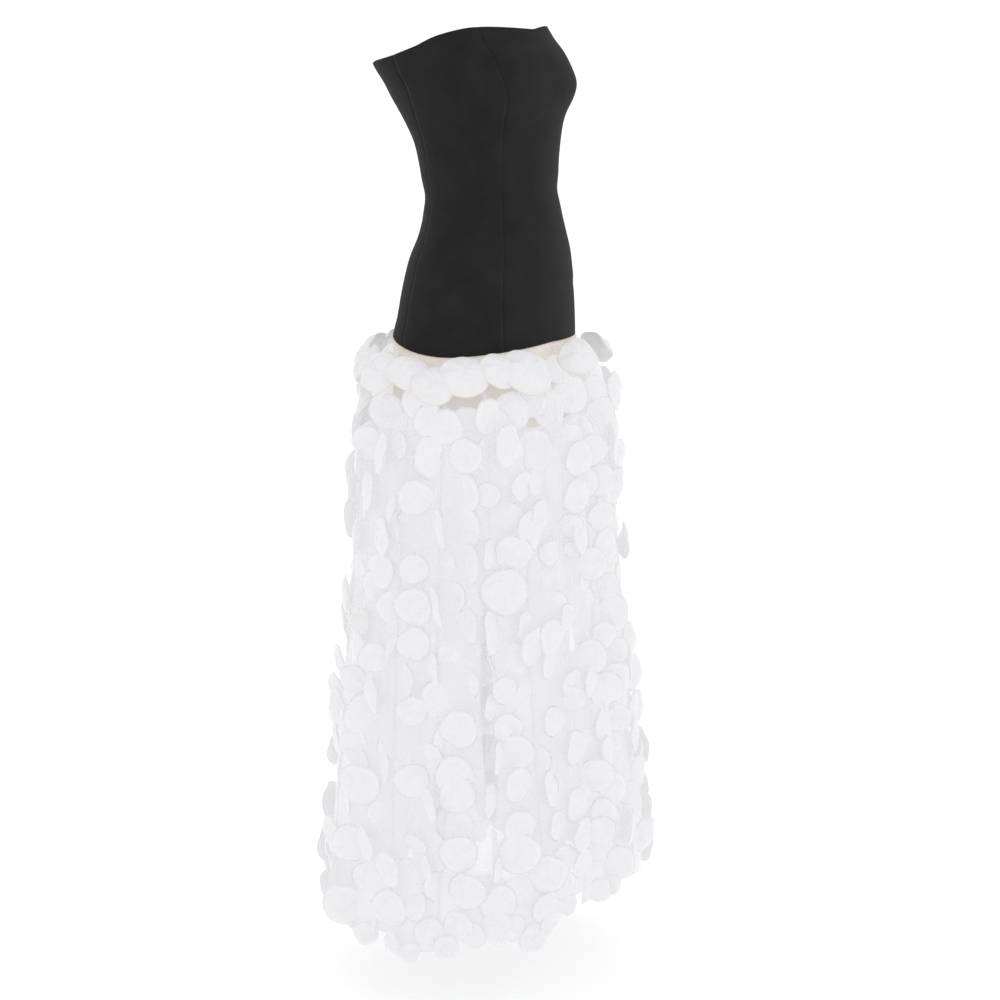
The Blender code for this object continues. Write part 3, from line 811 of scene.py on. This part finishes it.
def puffed_organza(name, tones, painted_glow_strength, inside, turns, rim_tone_and_painted_light, wrinkle_depth):
    """Disc cloth: two thin white layers, denser at the sewn rim, with long fine wrinkles and frost."""
    material, tree, shader, place = new_material(name)
    spot, cloth = place["Object"], place["UV"]
    clouds = noise(tree, spot, scale=75.0)
    low, high = [cool_white(tone) for tone in tones]
    frost = mixed_colour(tree, ranged(tree, clouds, 0.0, 1.0), low, high)
    # The rim's lighter tone is partly the denser sewn cloth and partly painted light that lifts the shade
    # where the disc meets its ribbon.
    rim = ranged(tree, vector_maths(tree, "LENGTH", cloth)["Value"], 0.0, 1.0, 0.70, 1.0)
    tone = mixed_colour(tree, rim, frost, rim_tone_and_painted_light)
    # Wrinkles run along the cloth, and each disc's drift away from the others'.
    drift = added(tree, "ShaderNodeTexNoise", {"Vector": spot, "Scale": 28.0, "Detail": 1.0})
    aside = scaled(tree, drift.outputs["Color"], 9.0)
    lengthwise = vector_maths(tree, "MULTIPLY_ADD", cloth, (1.3, 6.0, 0.0), aside)["Vector"]
    wrinkles = noise(tree, lengthwise, scale=1.0, detail=2.0)
    fed(tree, shader, {
        "Base Color": tone,
        "Roughness": ranged(tree, clouds, 0.46, 0.60),
        # Emission is a painted glow, lighter on faces that look out and up, painted shade on faces turned
        # in.
        "Emission Color": painted_facing_glow(tree, place, tone, inside, turns),
        "Emission Strength": painted_glow_strength,
        "Normal": bumped(tree, [(wrinkles, wrinkle_depth), (clouds, 0.0003)]),
    })
    return material


# The discs' organza: a dim base made up by its painted glow, with rims lifted a little by painted light.
PUFFED = puffed_organza(
    "puffed_organza",
    tones=(0.291, 0.301),
    painted_glow_strength=ORGANZA_PAINTED_GLOW,
    inside=0.284,
    turns=(-1.0, -0.6),
    rim_tone_and_painted_light=(0.311, 0.311, 0.318, 1),
    wrinkle_depth=0.0026,
)
# The top row's copy of the same organza has less painted glow so the scene's light shades it more, and
# warm rims that are a painted reflection of the nude lining.
TOP_PUFFED = puffed_organza(
    "top_puffed_organza",
    tones=(0.415, 0.435),
    painted_glow_strength=0.87,
    inside=0.345,
    turns=(-0.8, -0.1),
    rim_tone_and_painted_light=(0.425, 0.417, 0.407, 1),
    wrinkle_depth=0.0022,
)


def disc_tree(name):
    """Node tree: a copy of a disc form on each point, by the point's own turn, size and form."""
    sockets = {"Places": "Geometry", "Forms": "Collection", "Cloth": "Material"}
    tree, given, end = node_group(name, "Geometry", sockets, ("Discs", "Geometry"))
    values = {"Collection": given["Forms"], "Separate Children": True, "Reset Children": True}
    forms = added(tree, "GeometryNodeCollectionInfo", values).outputs["Instances"]
    values = {"Points": given["Places"], "Instance": forms, "Pick Instance": True}
    for attribute, kind, socket in (
        ("turn", "FLOAT_VECTOR", "Rotation"),
        ("stretch", "FLOAT_VECTOR", "Scale"),
        ("form", "INT", "Instance Index"),
    ):
        named = added(tree, "GeometryNodeInputNamedAttribute", {"Name": attribute}, data_type=kind)
        values[socket] = named.outputs["Attribute"]
    copies = added(tree, "GeometryNodeInstanceOnPoints", values).outputs["Instances"]
    plain = added(tree, "GeometryNodeRealizeInstances", {"Geometry": copies}).outputs["Geometry"]
    finish = added(tree, "GeometryNodeSetMaterial", {"Geometry": plain, "Material": given["Cloth"]})
    fed(tree, end, {"Discs": finish.outputs["Geometry"]})
    return tree


DISC_TREE = disc_tree("sewn_on_discs")
Disc = namedtuple("Disc", "point turn stretch form")


def sewn_discs(name, discs, forms, material):
    """A plain mesh of discs, copied by the node tree on their places."""
    seeds = bpy.data.meshes.new(name + "_places")
    seeds.from_pydata([disc.point for disc in discs], [], [])
    for attribute, kind, key in (
        ("turn", "FLOAT_VECTOR", "vector"),
        ("stretch", "FLOAT_VECTOR", "vector"),
        ("form", "INT", "value"),
    ):
        layer = seeds.attributes.new(attribute, kind, "POINT")
        for item, disc in zip(layer.data, discs):
            setattr(item, key, getattr(disc, attribute))
    holder = placed(name + "_holder", seeds)
    modifier = holder.modifiers.new("discs", "NODES")
    modifier.node_group = DISC_TREE
    sockets = {item.name: item.identifier for item in DISC_TREE.interface.items_tree}
    modifier[sockets["Forms"]] = forms
    modifier[sockets["Cloth"]] = material
    graph = bpy.context.evaluated_depsgraph_get()
    mesh = bpy.data.meshes.new_from_object(
        holder.evaluated_get(graph), preserve_all_data_layers=True, depsgraph=graph
    )
    bpy.data.objects.remove(holder, do_unlink=True)
    mesh.name = name
    piece = placed(name, mesh)
    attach(piece, "root")
    return piece


def hung_disc(angle, height, out, radius, form, tip, yaw, lean, roll, aspect=1.0):
    """A disc on the skirt. Tip leans its top out, yaw turns it aside, lean slants it, roll spins it."""
    normal = outward(skirt_point, angle, height)
    around = Vector((0, 0, 1)).cross(normal).normalized()
    up = normal.cross(around)
    base = Matrix((around, up, normal)).transposed()
    local = Matrix.Rotation(lean, 3, "Z") @ Matrix.Rotation(yaw, 3, "Y") @ Matrix.Rotation(tip, 3, "X")
    turn = (base @ local @ Matrix.Rotation(roll, 3, "Z")).to_euler("XYZ")
    point = skirt_point(angle, height) + normal * out
    return Disc(point, tuple(turn), (radius * aspect, radius, radius), form)


# How each kind of disc hangs: the forms it may have, its middle's distance out from the skirt, the
# share of its turned-out edge that is added, its size against the table's, and how it may tip.
Kind = namedtuple("Kind", "forms out turned_out grown tip")
KINDS = {
    "behind": Kind((4, 4, 0), -0.0045, 0.0, 1.20, 0.05),
    "front": Kind((0, 0, 1, 2), 0.0065, 0.40, 1.10, 0.10),
    "leaf": Kind((3,), 0.0050, 0.0, 1.0, 0.05),
    "pillow": Kind((5,), 0.0200, 0.0, 1.12, 0.10),
    "folded": Kind((6,), 0.0180, 0.0, 1.08, 0.10),
    "cone": Kind((7,), 0.0160, 0.0, 1.15, 0.10),
    "hem": Kind((0, 1, 5), 0.0060, 0.2, 1.0, 0.10),
}
FINE_KINDS = ("pillow", "folded", "cone")
PILLOW_WIDENED = 1.18
# The camera of the photograph, in degrees from the centre front, metres from the axis and above
# the waist, and pixels. It was fitted to the photograph by a standard dress size.
CAMERA_ANGLE, CAMERA_DISTANCE, CAMERA_HEIGHT = 57, 3.8, 0.40
CAMERA_AZIMUTH, CAMERA_PITCH = math.radians(-CAMERA_ANGLE), math.radians(12.55)
FOCAL_PIXELS, FRAME_PIXELS, AXIS_LEFT_OF_MIDDLE = 2651.0, 1000, 8
# How far out from the skirt the middle of a disc is taken to be when its place is looked for
LOOKED_FOR_OUT = {
    "behind": -0.006,
    "front": 0.012,
    "leaf": 0.012,
    "pillow": 0.022,
    "folded": 0.018,
    "cone": 0.016,
    "hem": 0.006,
}
# The search goes over a coarse grid of angles in degrees and heights, then over two finer ones.
COARSE_ANGLES, COARSE_TOP, COARSE_DROP, COARSE_ROWS = range(-60, 172, 4), -0.195, 0.02, 48
FINE_STEPS, FINE_REACH, SEARCH_BOTTOM, SEARCH_TOP = ((1.0, 0.005), (0.25, 0.0015)), 5, -1.09, -0.19
# Millimetres to a pixel, the slant from which a leaf's length is its height, the share of a leaf's
# turn that is kept, and the most that another disc is turned
PIXEL_MM, LEAF_SLANTED, LEAF_TURNED, MOST_TURNED = 1.43, 30, 0.96, 42
Place = namedtuple("Place", "angle row radius yaw kind lean", defaults=[0])


@cache
def pixel_of(angle, height, out):
    """Where the photograph shows the spot that lies this far out from the skirt."""
    spot = moved_out(skirt_point, math.radians(angle), height, out)
    across = spot.x * math.cos(CAMERA_AZIMUTH) + spot.y * math.sin(CAMERA_AZIMUTH)
    across -= AXIS_LEFT_OF_MIDDLE * CAMERA_DISTANCE / FOCAL_PIXELS
    away = CAMERA_DISTANCE + spot.y * math.cos(CAMERA_AZIMUTH) - spot.x * math.sin(CAMERA_AZIMUTH)
    drop = CAMERA_HEIGHT - spot.z
    depth = away * math.cos(CAMERA_PITCH) + drop * math.sin(CAMERA_PITCH)
    below = drop * math.cos(CAMERA_PITCH) - away * math.sin(CAMERA_PITCH)
    middle = FRAME_PIXELS / 2
    return middle + FOCAL_PIXELS * across / depth, middle + FOCAL_PIXELS * below / depth


def spot_seen(x, y, out):
    """Angle in degrees and height of the spot that the photograph shows at this pixel."""

    def miss(spot):
        seen_x, seen_y = pixel_of(*spot, out)
        return (seen_x - x) ** 2 + (seen_y - y) ** 2

    heights = [COARSE_TOP - row * COARSE_DROP for row in range(COARSE_ROWS)]
    best = min(((angle, height) for angle in COARSE_ANGLES for height in heights), key=miss)
    steps = range(-FINE_REACH, FINE_REACH + 1)
    for turn, drop in FINE_STEPS:
        near = [(best[0] + i * turn, best[1] + j * drop) for i in steps for j in steps]
        inside = [spot for spot in near if SEARCH_BOTTOM <= spot[1] <= SEARCH_TOP]
        best = min([best] + inside, key=miss)
    return best


def seen(x, y, width, height, kind, slant=0):
    """The place of a disc whose middle and size in the photograph are these, in pixels."""
    angle, level = spot_seen(x, y, LOOKED_FOR_OUT[kind])
    top, bottom = (row_height(math.radians(angle), row) for row in (0, HALF_ROWS))
    row = (top - level) / (top - bottom) * HALF_ROWS
    # A narrow outline is a disc turned aside. A leaf may lie across, so its short side counts.
    if kind == "leaf":
        tall = max(width, height) if abs(slant) > LEAF_SLANTED else height
        turn = math.degrees(math.acos(min(width, height) / max(width, height))) * LEAF_TURNED
    else:
        tall = height
        turn = math.degrees(math.acos(min(width / height, 1)))
    facing = min((CAMERA_ANGLE + turn, CAMERA_ANGLE - turn), key=lambda way: abs(way - angle))
    yaw = angle - facing
    if kind != "leaf":
        yaw = max(-MOST_TURNED, min(MOST_TURNED, yaw))
    return Place(round(angle), round(row, 1), round(tall * PIXEL_MM / 2), round(yaw), kind, slant)


# Discs of the right front half. Those that are seen were read off the photograph: x, y,
# width and height in pixels, kind, and slant in degrees. The others are given: angle in
# degrees, row, radius in millimetres, turn in degrees, kind, and slant. The other half of the skirt
# carries the same ones mirrored, a little astray.
PLACES = [
    Place(130, 1.0, 22, 12, "behind"),
    seen(408, 374, 30, 30, "behind"),
    Place(43, 1.1, 24, 24, "pillow", -14),
    Place(-4, 1.2, 25, -20, "pillow"),
    Place(60, 1.2, 28, 4, "pillow", 12),
    Place(88, 1.15, 24, 20, "pillow"),
    Place(104, 1.5, 23, 10, "cone", 30),
    seen(557, 372, 26, 30, "behind"),
    Place(30, 1.3, 31, -8, "pillow", -8),
    Place(157, 1.3, 23, -10, "pillow"),
    Place(169, 1.4, 28, 8, "folded", 20),
    Place(186, 1.2, 28, -5, "pillow"),
    Place(74, 1.4, 29, 12, "folded", 20),
    seen(531, 403, 28, 28, "behind"),
    Place(17, 3.0, 25, 0, "behind"),
    Place(47, 3.3, 24, 0, "behind"),
    seen(592, 388, 22, 24, "front"),
    seen(568, 396, 30, 34, "behind"),
    seen(510, 413, 32, 32, "behind"),
    seen(487, 417, 24, 33, "front"),
    seen(429, 422, 31, 31, "front"),
    seen(383, 381, 22, 30, "cone", 30),
    seen(388, 412, 32, 32, "behind"),
    seen(408, 430, 26, 30, "behind"),
    seen(599, 412, 28, 30, "front"),
    seen(368, 410, 30, 34, "front"),
    seen(398, 446, 14, 28, "leaf"),
    seen(507, 446, 24, 40, "front"),
    seen(439, 456, 45, 45, "behind"),
    seen(464, 456, 28, 34, "front"),
    seen(487, 454, 28, 32, "behind"),
    seen(368, 442, 30, 34, "front"),
    seen(568, 440, 26, 30, "behind"),
    seen(531, 452, 34, 40, "behind"),
    seen(592, 450, 28, 30, "front"),
    seen(388, 476, 24, 30, "behind"),
    seen(522, 487, 20, 30, "front"),
    seen(538, 483, 16, 28, "leaf", 20),
    seen(461, 492, 30, 36, "behind"),
    seen(417, 497, 34, 34, "front"),
    seen(490, 495, 24, 24, "front"),
    seen(556, 480, 24, 34, "behind"),
    seen(578, 483, 34, 34, "behind"),
    seen(600, 482, 28, 32, "front"),
    seen(386, 510, 6, 34, "leaf", -15),
    seen(364, 476, 30, 34, "front"),
    seen(505, 520, 34, 34, "behind"),
    seen(461, 528, 32, 38, "behind"),
    seen(405, 525, 26, 28, "behind"),
    seen(437, 531, 5, 44, "leaf", 6),
    seen(544, 517, 20, 36, "leaf"),
    seen(395, 533, 4, 22, "leaf"),
    seen(360, 506, 34, 36, "front"),
    seen(571, 525, 22, 22, "front"),
    seen(600, 515, 26, 30, "front"),
    seen(492, 556, 16, 32, "leaf"),
    seen(441, 562, 24, 28, "behind"),
    seen(470, 564, 14, 42, "leaf"),
    seen(414, 571, 28, 28, "front"),
    seen(550, 554, 22, 24, "front"),
    seen(571, 550, 22, 16, "front"),
    seen(528, 564, 26, 34, "behind"),
    seen(383, 587, 34, 34, "behind"),
    seen(505, 591, 45, 45, "front"),
    seen(451, 597, 24, 30, "behind"),
    seen(592, 564, 30, 32, "front"),
    seen(432, 608, 6, 46, "leaf", 8),
    seen(397, 606, 34, 34, "behind"),
    seen(360, 575, 34, 36, "front"),
    seen(468, 628, 12, 38, "leaf"),
    seen(509, 618, 26, 30, "behind"),
    seen(606, 587, 24, 26, "front"),
    seen(550, 608, 28, 32, "behind"),
    seen(360, 622, 22, 26, "folded"),
    seen(494, 633, 20, 48, "leaf", 12),
    seen(528, 626, 18, 32, "leaf"),
    seen(414, 645, 32, 32, "front"),
    seen(571, 618, 16, 30, "leaf"),
    seen(387, 645, 5, 26, "leaf", -40),
    seen(455, 657, 34, 34, "behind"),
    seen(374, 657, 30, 30, "front"),
    seen(431, 670, 5, 36, "leaf", 4),
    seen(509, 660, 32, 32, "behind"),
    seen(602, 635, 26, 28, "front"),
    seen(403, 680, 22, 34, "behind"),
    seen(553, 664, 18, 32, "leaf"),
    seen(461, 684, 30, 34, "behind"),
    seen(588, 658, 34, 34, "front"),
    seen(354, 680, 28, 30, "front"),
    seen(497, 691, 24, 26, "front"),
    seen(613, 651, 26, 28, "front"),
    seen(532, 690, 28, 34, "behind"),
    seen(413, 712, 30, 30, "front"),
    seen(494, 708, 18, 28, "leaf"),
    seen(575, 684, 22, 28, "front"),
    seen(458, 728, 33, 36, "front"),
    seen(371, 717, 43, 43, "behind"),
    seen(574, 699, 24, 24, "front"),
    seen(507, 728, 28, 28, "front"),
    seen(557, 721, 22, 32, "leaf"),
    seen(394, 746, 27, 30, "behind"),
    seen(440, 759, 28, 32, "behind"),
    seen(588, 714, 26, 28, "behind"),
    seen(354, 744, 28, 32, "front"),
    seen(501, 759, 12, 36, "leaf"),
    seen(617, 719, 26, 28, "front"),
    seen(413, 782, 33, 33, "front"),
    seen(535, 760, 28, 28, "behind"),
    seen(579, 748, 20, 38, "leaf", -10),
    seen(362, 784, 42, 42, "front"),
    seen(458, 795, 35, 35, "front"),
    seen(519, 786, 26, 34, "front"),
    seen(427, 806, 12, 38, "leaf", 6),
    seen(492, 800, 14, 36, "leaf"),
    seen(557, 788, 18, 40, "leaf", 12),
    seen(595, 775, 33, 33, "front"),
    seen(385, 815, 28, 30, "behind"),
    seen(445, 824, 32, 34, "behind"),
    seen(580, 806, 22, 36, "leaf", -8),
    seen(414, 846, 28, 14, "leaf", 60),
    seen(537, 822, 30, 32, "behind"),
    seen(396, 844, 28, 30, "behind"),
    seen(561, 828, 20, 32, "leaf"),
    seen(458, 856, 36, 36, "front"),
    seen(628, 793, 22, 24, "front"),
    seen(353, 844, 38, 38, "front"),
    seen(518, 854, 40, 40, "front"),
    seen(425, 871, 10, 32, "leaf", 6),
    seen(500, 872, 12, 30, "leaf"),
    seen(599, 831, 30, 30, "front"),
    seen(441, 884, 30, 30, "behind"),
    seen(371, 875, 28, 28, "behind"),
    seen(468, 892, 34, 36, "front"),
    seen(413, 908, 20, 32, "leaf", -50),
    seen(586, 864, 20, 34, "leaf", -25),
    seen(485, 900, 46, 48, "behind"),
    seen(387, 909, 32, 38, "front"),
    seen(500, 905, 34, 36, "front"),
    seen(566, 884, 26, 28, "front"),
    seen(545, 890, 26, 30, "behind"),
    seen(528, 900, 30, 32, "behind"),
    seen(347, 904, 42, 42, "front"),
    seen(458, 925, 30, 32, "hem"),
    seen(330, 870, 18, 24, "front"),
    seen(429, 931, 32, 32, "hem"),
    Place(1, 29.1, 26, -22, "front"),
    seen(495, 928, 36, 36, "hem"),
    seen(474, 934, 26, 28, "hem"),
    seen(568, 904, 20, 22, "hem"),
    seen(515, 928, 26, 28, "hem"),
    seen(367, 932, 26, 26, "hem"),
    seen(394, 942, 14, 26, "hem"),
    Place(-53, 29.0, 19, -10, "front"),
    seen(599, 889, 26, 26, "hem"),
    seen(447, 947, 26, 26, "hem"),
    seen(412, 953, 24, 24, "hem"),
    seen(609, 886, 22, 24, "hem"),
    seen(548, 925, 16, 22, "hem"),
    seen(534, 938, 32, 34, "hem"),
    Place(169, 29.2, 23, 10, "front"),
]
# A place and its mirror image add up to this angle. No mirrored disc hangs closer to another, or
# higher up, than these.
MIRROR_SUM, MIRROR_CLEAR, MIRROR_FROM_ROW = 294, 0.016, 1.4
MIRRORED_YAW, MIRRORED_YAW_STRAY = 0.5, 8
STRAY_ANGLE, STRAY_ROW, STRAY_OUT, STRAY_TURN = 2.5, 0.35, 0.003, 0.08
# How far discs of the top row roll and how far others do, and the share of a disc's radius that
# stays clear of an open slit
FINE_ROLL, ANY_ROLL, CLEAR_SHARE = 0.3, 3.1, 0.45
# Where the table has none, each ribbon has one disc under the other, and they sit half a disc
# lower on every second ribbon. They hang closer near the hem.
GRID_FROM, GRID_STEP, GRID_RADII, CLOSE_FROM = 2.0, 1.0, (24.0, 28.0), 24.0
GRID_CLEAR, CLOSE_CLEAR = 0.024, 0.019
GRID_KINDS = ("behind", "behind", "front", "front")
GRID_TURN, GRID_LEAN = {"behind": 10, "front": 34}, 8
GRID_STRAY_ROW, GRID_STRAY, DISC_SEED = 0.3, 0.006, 19


def off_the_slit(angle, row, radius):
    """Moves a disc aside from an open slit, onto the ribbon that carries it."""
    for parting in PARTINGS:
        gap = opening(parting.strip, row)
        edge = BOUNDARIES[parting.strip]
        height = row_height(edge, row)
        step = skirt_point(edge + SMALL_TURN, height) - skirt_point(edge, height)
        reach = step.length / SMALL_TURN
        aside = ((angle - edge + math.pi) % (2 * math.pi) - math.pi) * reach
        clear = gap / 2 + CLEAR_SHARE * radius
        if gap > 0 and abs(aside) < clear:
            angle = edge + math.copysign(clear, aside) / reach
    return angle


def strip_at(angle):
    turn = angle % (2 * math.pi)
    return max(strip for strip in range(STRIPS) if BOUNDARIES[strip] <= turn)


chance = random.Random(DISC_SEED)
strip_discs = [[] for _ in range(STRIPS)]
top_discs = []
taken = []


def hang(place, angle, row, yaw, lean):
    """Hangs one disc of a place's kind and size, and notes where it is."""
    kind = KINDS[place.kind]
    angle, yaw, lean = math.radians(angle), math.radians(yaw), math.radians(lean)
    radius = place.radius / 1000 * kind.grown
    if place.kind != "leaf":
        angle = off_the_slit(angle, row, radius)
    fine = place.kind in FINE_KINDS
    out = kind.out + kind.turned_out * radius * abs(math.sin(yaw)) + chance.uniform(0, STRAY_OUT)
    form, tip, roll = chance.choice(kind.forms), chance.gauss(kind.tip, kind.tip / 2), 0.0
    if place.kind != "leaf":
        yaw += chance.gauss(0, STRAY_TURN)
        most = FINE_ROLL if fine else ANY_ROLL
        roll = chance.uniform(-most, most)
    aspect = PILLOW_WIDENED if place.kind == "pillow" else 1.0
    disc = hung_disc(angle, row_height(angle, row), out, radius, form, tip, yaw, lean, roll, aspect)
    taken.append(disc.point)
    if fine:
        top_discs.append(disc)
    else:
        strip_discs[strip_at(angle)].append(disc)


def clear_around(angle, row):
    """Distance from a place on the skirt to the nearest disc that hangs already."""
    here = skirt_point(angle, row_height(angle, row))
    return min((point - here).length for point in taken)


for place in PLACES:
    hang(place, place.angle, place.row, place.yaw, place.lean)
for place in PLACES:
    angle = MIRROR_SUM - place.angle + chance.uniform(-STRAY_ANGLE, STRAY_ANGLE)
    row = max(place.row + chance.uniform(-STRAY_ROW, STRAY_ROW), MIRROR_FROM_ROW)
    if clear_around(math.radians(angle), row) > MIRROR_CLEAR:
        yaw = -place.yaw * MIRRORED_YAW + chance.uniform(-MIRRORED_YAW_STRAY, MIRRORED_YAW_STRAY)
        hang(place, angle, row, yaw, -place.lean)
for strip in range(STRIPS):
    for step in range(int((HALF_ROWS - GRID_FROM) / GRID_STEP)):
        row = GRID_FROM + GRID_STEP * step + chance.uniform(-GRID_STRAY_ROW, GRID_STRAY_ROW)
        on_edge = (step + strip) % 2
        if on_edge and row < CLOSE_FROM and strip % 2:
            continue
        spot = BOUNDARIES[strip] if on_edge else (BOUNDARIES[strip] + BOUNDARIES[strip + 1]) / 2
        angle = turned_by(spot, row_height(spot, row), chance.uniform(-GRID_STRAY, GRID_STRAY))
        if clear_around(angle, row) > (CLOSE_CLEAR if row > CLOSE_FROM else GRID_CLEAR):
            radius, kind = chance.uniform(*GRID_RADII), chance.choice(GRID_KINDS)
            place, turn = Place(math.degrees(angle), row, radius, 0, kind), GRID_TURN[kind]
            hang(place, place.angle, row, chance.uniform(-turn, turn), chance.gauss(0, GRID_LEAN))

disc_forms = form_collection("disc", segments=18, rings=(0.45, 0.80, 1.0))
disc_pieces = [
    sewn_discs(f"discs_{strip + 1:02d}", discs, disc_forms, PUFFED)
    for strip, discs in enumerate(strip_discs)
]
top_forms = form_collection("top", segments=32, rings=(0.22, 0.45, 0.66, 0.83, 0.94, 1.0))
top_piece = sewn_discs("top_discs", top_discs, top_forms, TOP_PUFFED)

# Studio. A plain pale floor just under the hem, one soft light from the front and above, and an
# even pale surround. The camera stands where the photograph was taken from.
FLOOR_HEIGHT, FLOOR_REACH, SENSOR_MM = -1.170, 60.0, 36.0


def pale_floor():
    """Smooth white paint, a shade uneven."""
    material, tree, shader, place = new_material("pale_floor")
    clouds = noise(tree, place["Object"], scale=1.5, detail=2.0)
    share = ranged(tree, clouds, 0.0, 1.0)
    fed(tree, shader, {
        "Base Color": mixed_colour(tree, share, (0.93, 0.93, 0.93, 1), (0.95, 0.95, 0.95, 1)),
        "Roughness": ranged(tree, clouds, 0.7, 0.8),
        "Specular IOR Level": 0.1,
        "Emission Color": (1.0, 1.0, 1.0, 1.0),
        "Emission Strength": 0.15,
    })
    return material


floor_mesh = bpy.data.meshes.new("floor")
floor_mesh.from_pydata(
    [(x * FLOOR_REACH, y * FLOOR_REACH, FLOOR_HEIGHT) for x, y in ((-1, -1), (1, -1), (1, 1), (-1, 1))],
    [], [(0, 1, 2, 3)],
)
floor_mesh.materials.append(pale_floor())
floor = placed("floor", floor_mesh)

world = bpy.data.worlds.new("surround")
world.use_nodes = True
background = world.node_tree.nodes["Background"]
fed(world.node_tree, background, {"Color": (1.0, 1.0, 1.0, 1.0), "Strength": 1.0})
bpy.context.scene.world = world


def soft_light(name, place, size, power):
    """A square light that looks at the waist."""
    data = bpy.data.lights.new(name, "AREA")
    data.size = size
    data.energy = power
    light = placed(name, data)
    light.location = place
    light.rotation_euler = (-Vector(place)).to_track_quat("-Z", "Y").to_euler()


soft_light("front_light", place=(-2.2, -3.4, 2.2), size=2.4, power=14)

toward = Vector((math.sin(CAMERA_AZIMUTH), -math.cos(CAMERA_AZIMUTH), 0))
right = Vector((math.cos(CAMERA_AZIMUTH), math.sin(CAMERA_AZIMUTH), 0))
forward = -toward * math.cos(CAMERA_PITCH) - Vector((0, 0, 1)) * math.sin(CAMERA_PITCH)
camera_data = bpy.data.cameras.new("camera")
camera_data.sensor_width = SENSOR_MM
camera_data.lens = FOCAL_PIXELS / FRAME_PIXELS * SENSOR_MM
camera = placed("camera", camera_data)
camera.matrix_world = (
    Matrix.Translation(
        toward * CAMERA_DISTANCE
        + right * (AXIS_LEFT_OF_MIDDLE * CAMERA_DISTANCE / FOCAL_PIXELS)
        + Vector((0, 0, CAMERA_HEIGHT))
    )
    @ Matrix((right, right.cross(forward), -forward)).transposed().to_4x4()
)
bpy.context.scene.camera = camera
bpy.context.scene.view_settings.view_transform = "Standard"
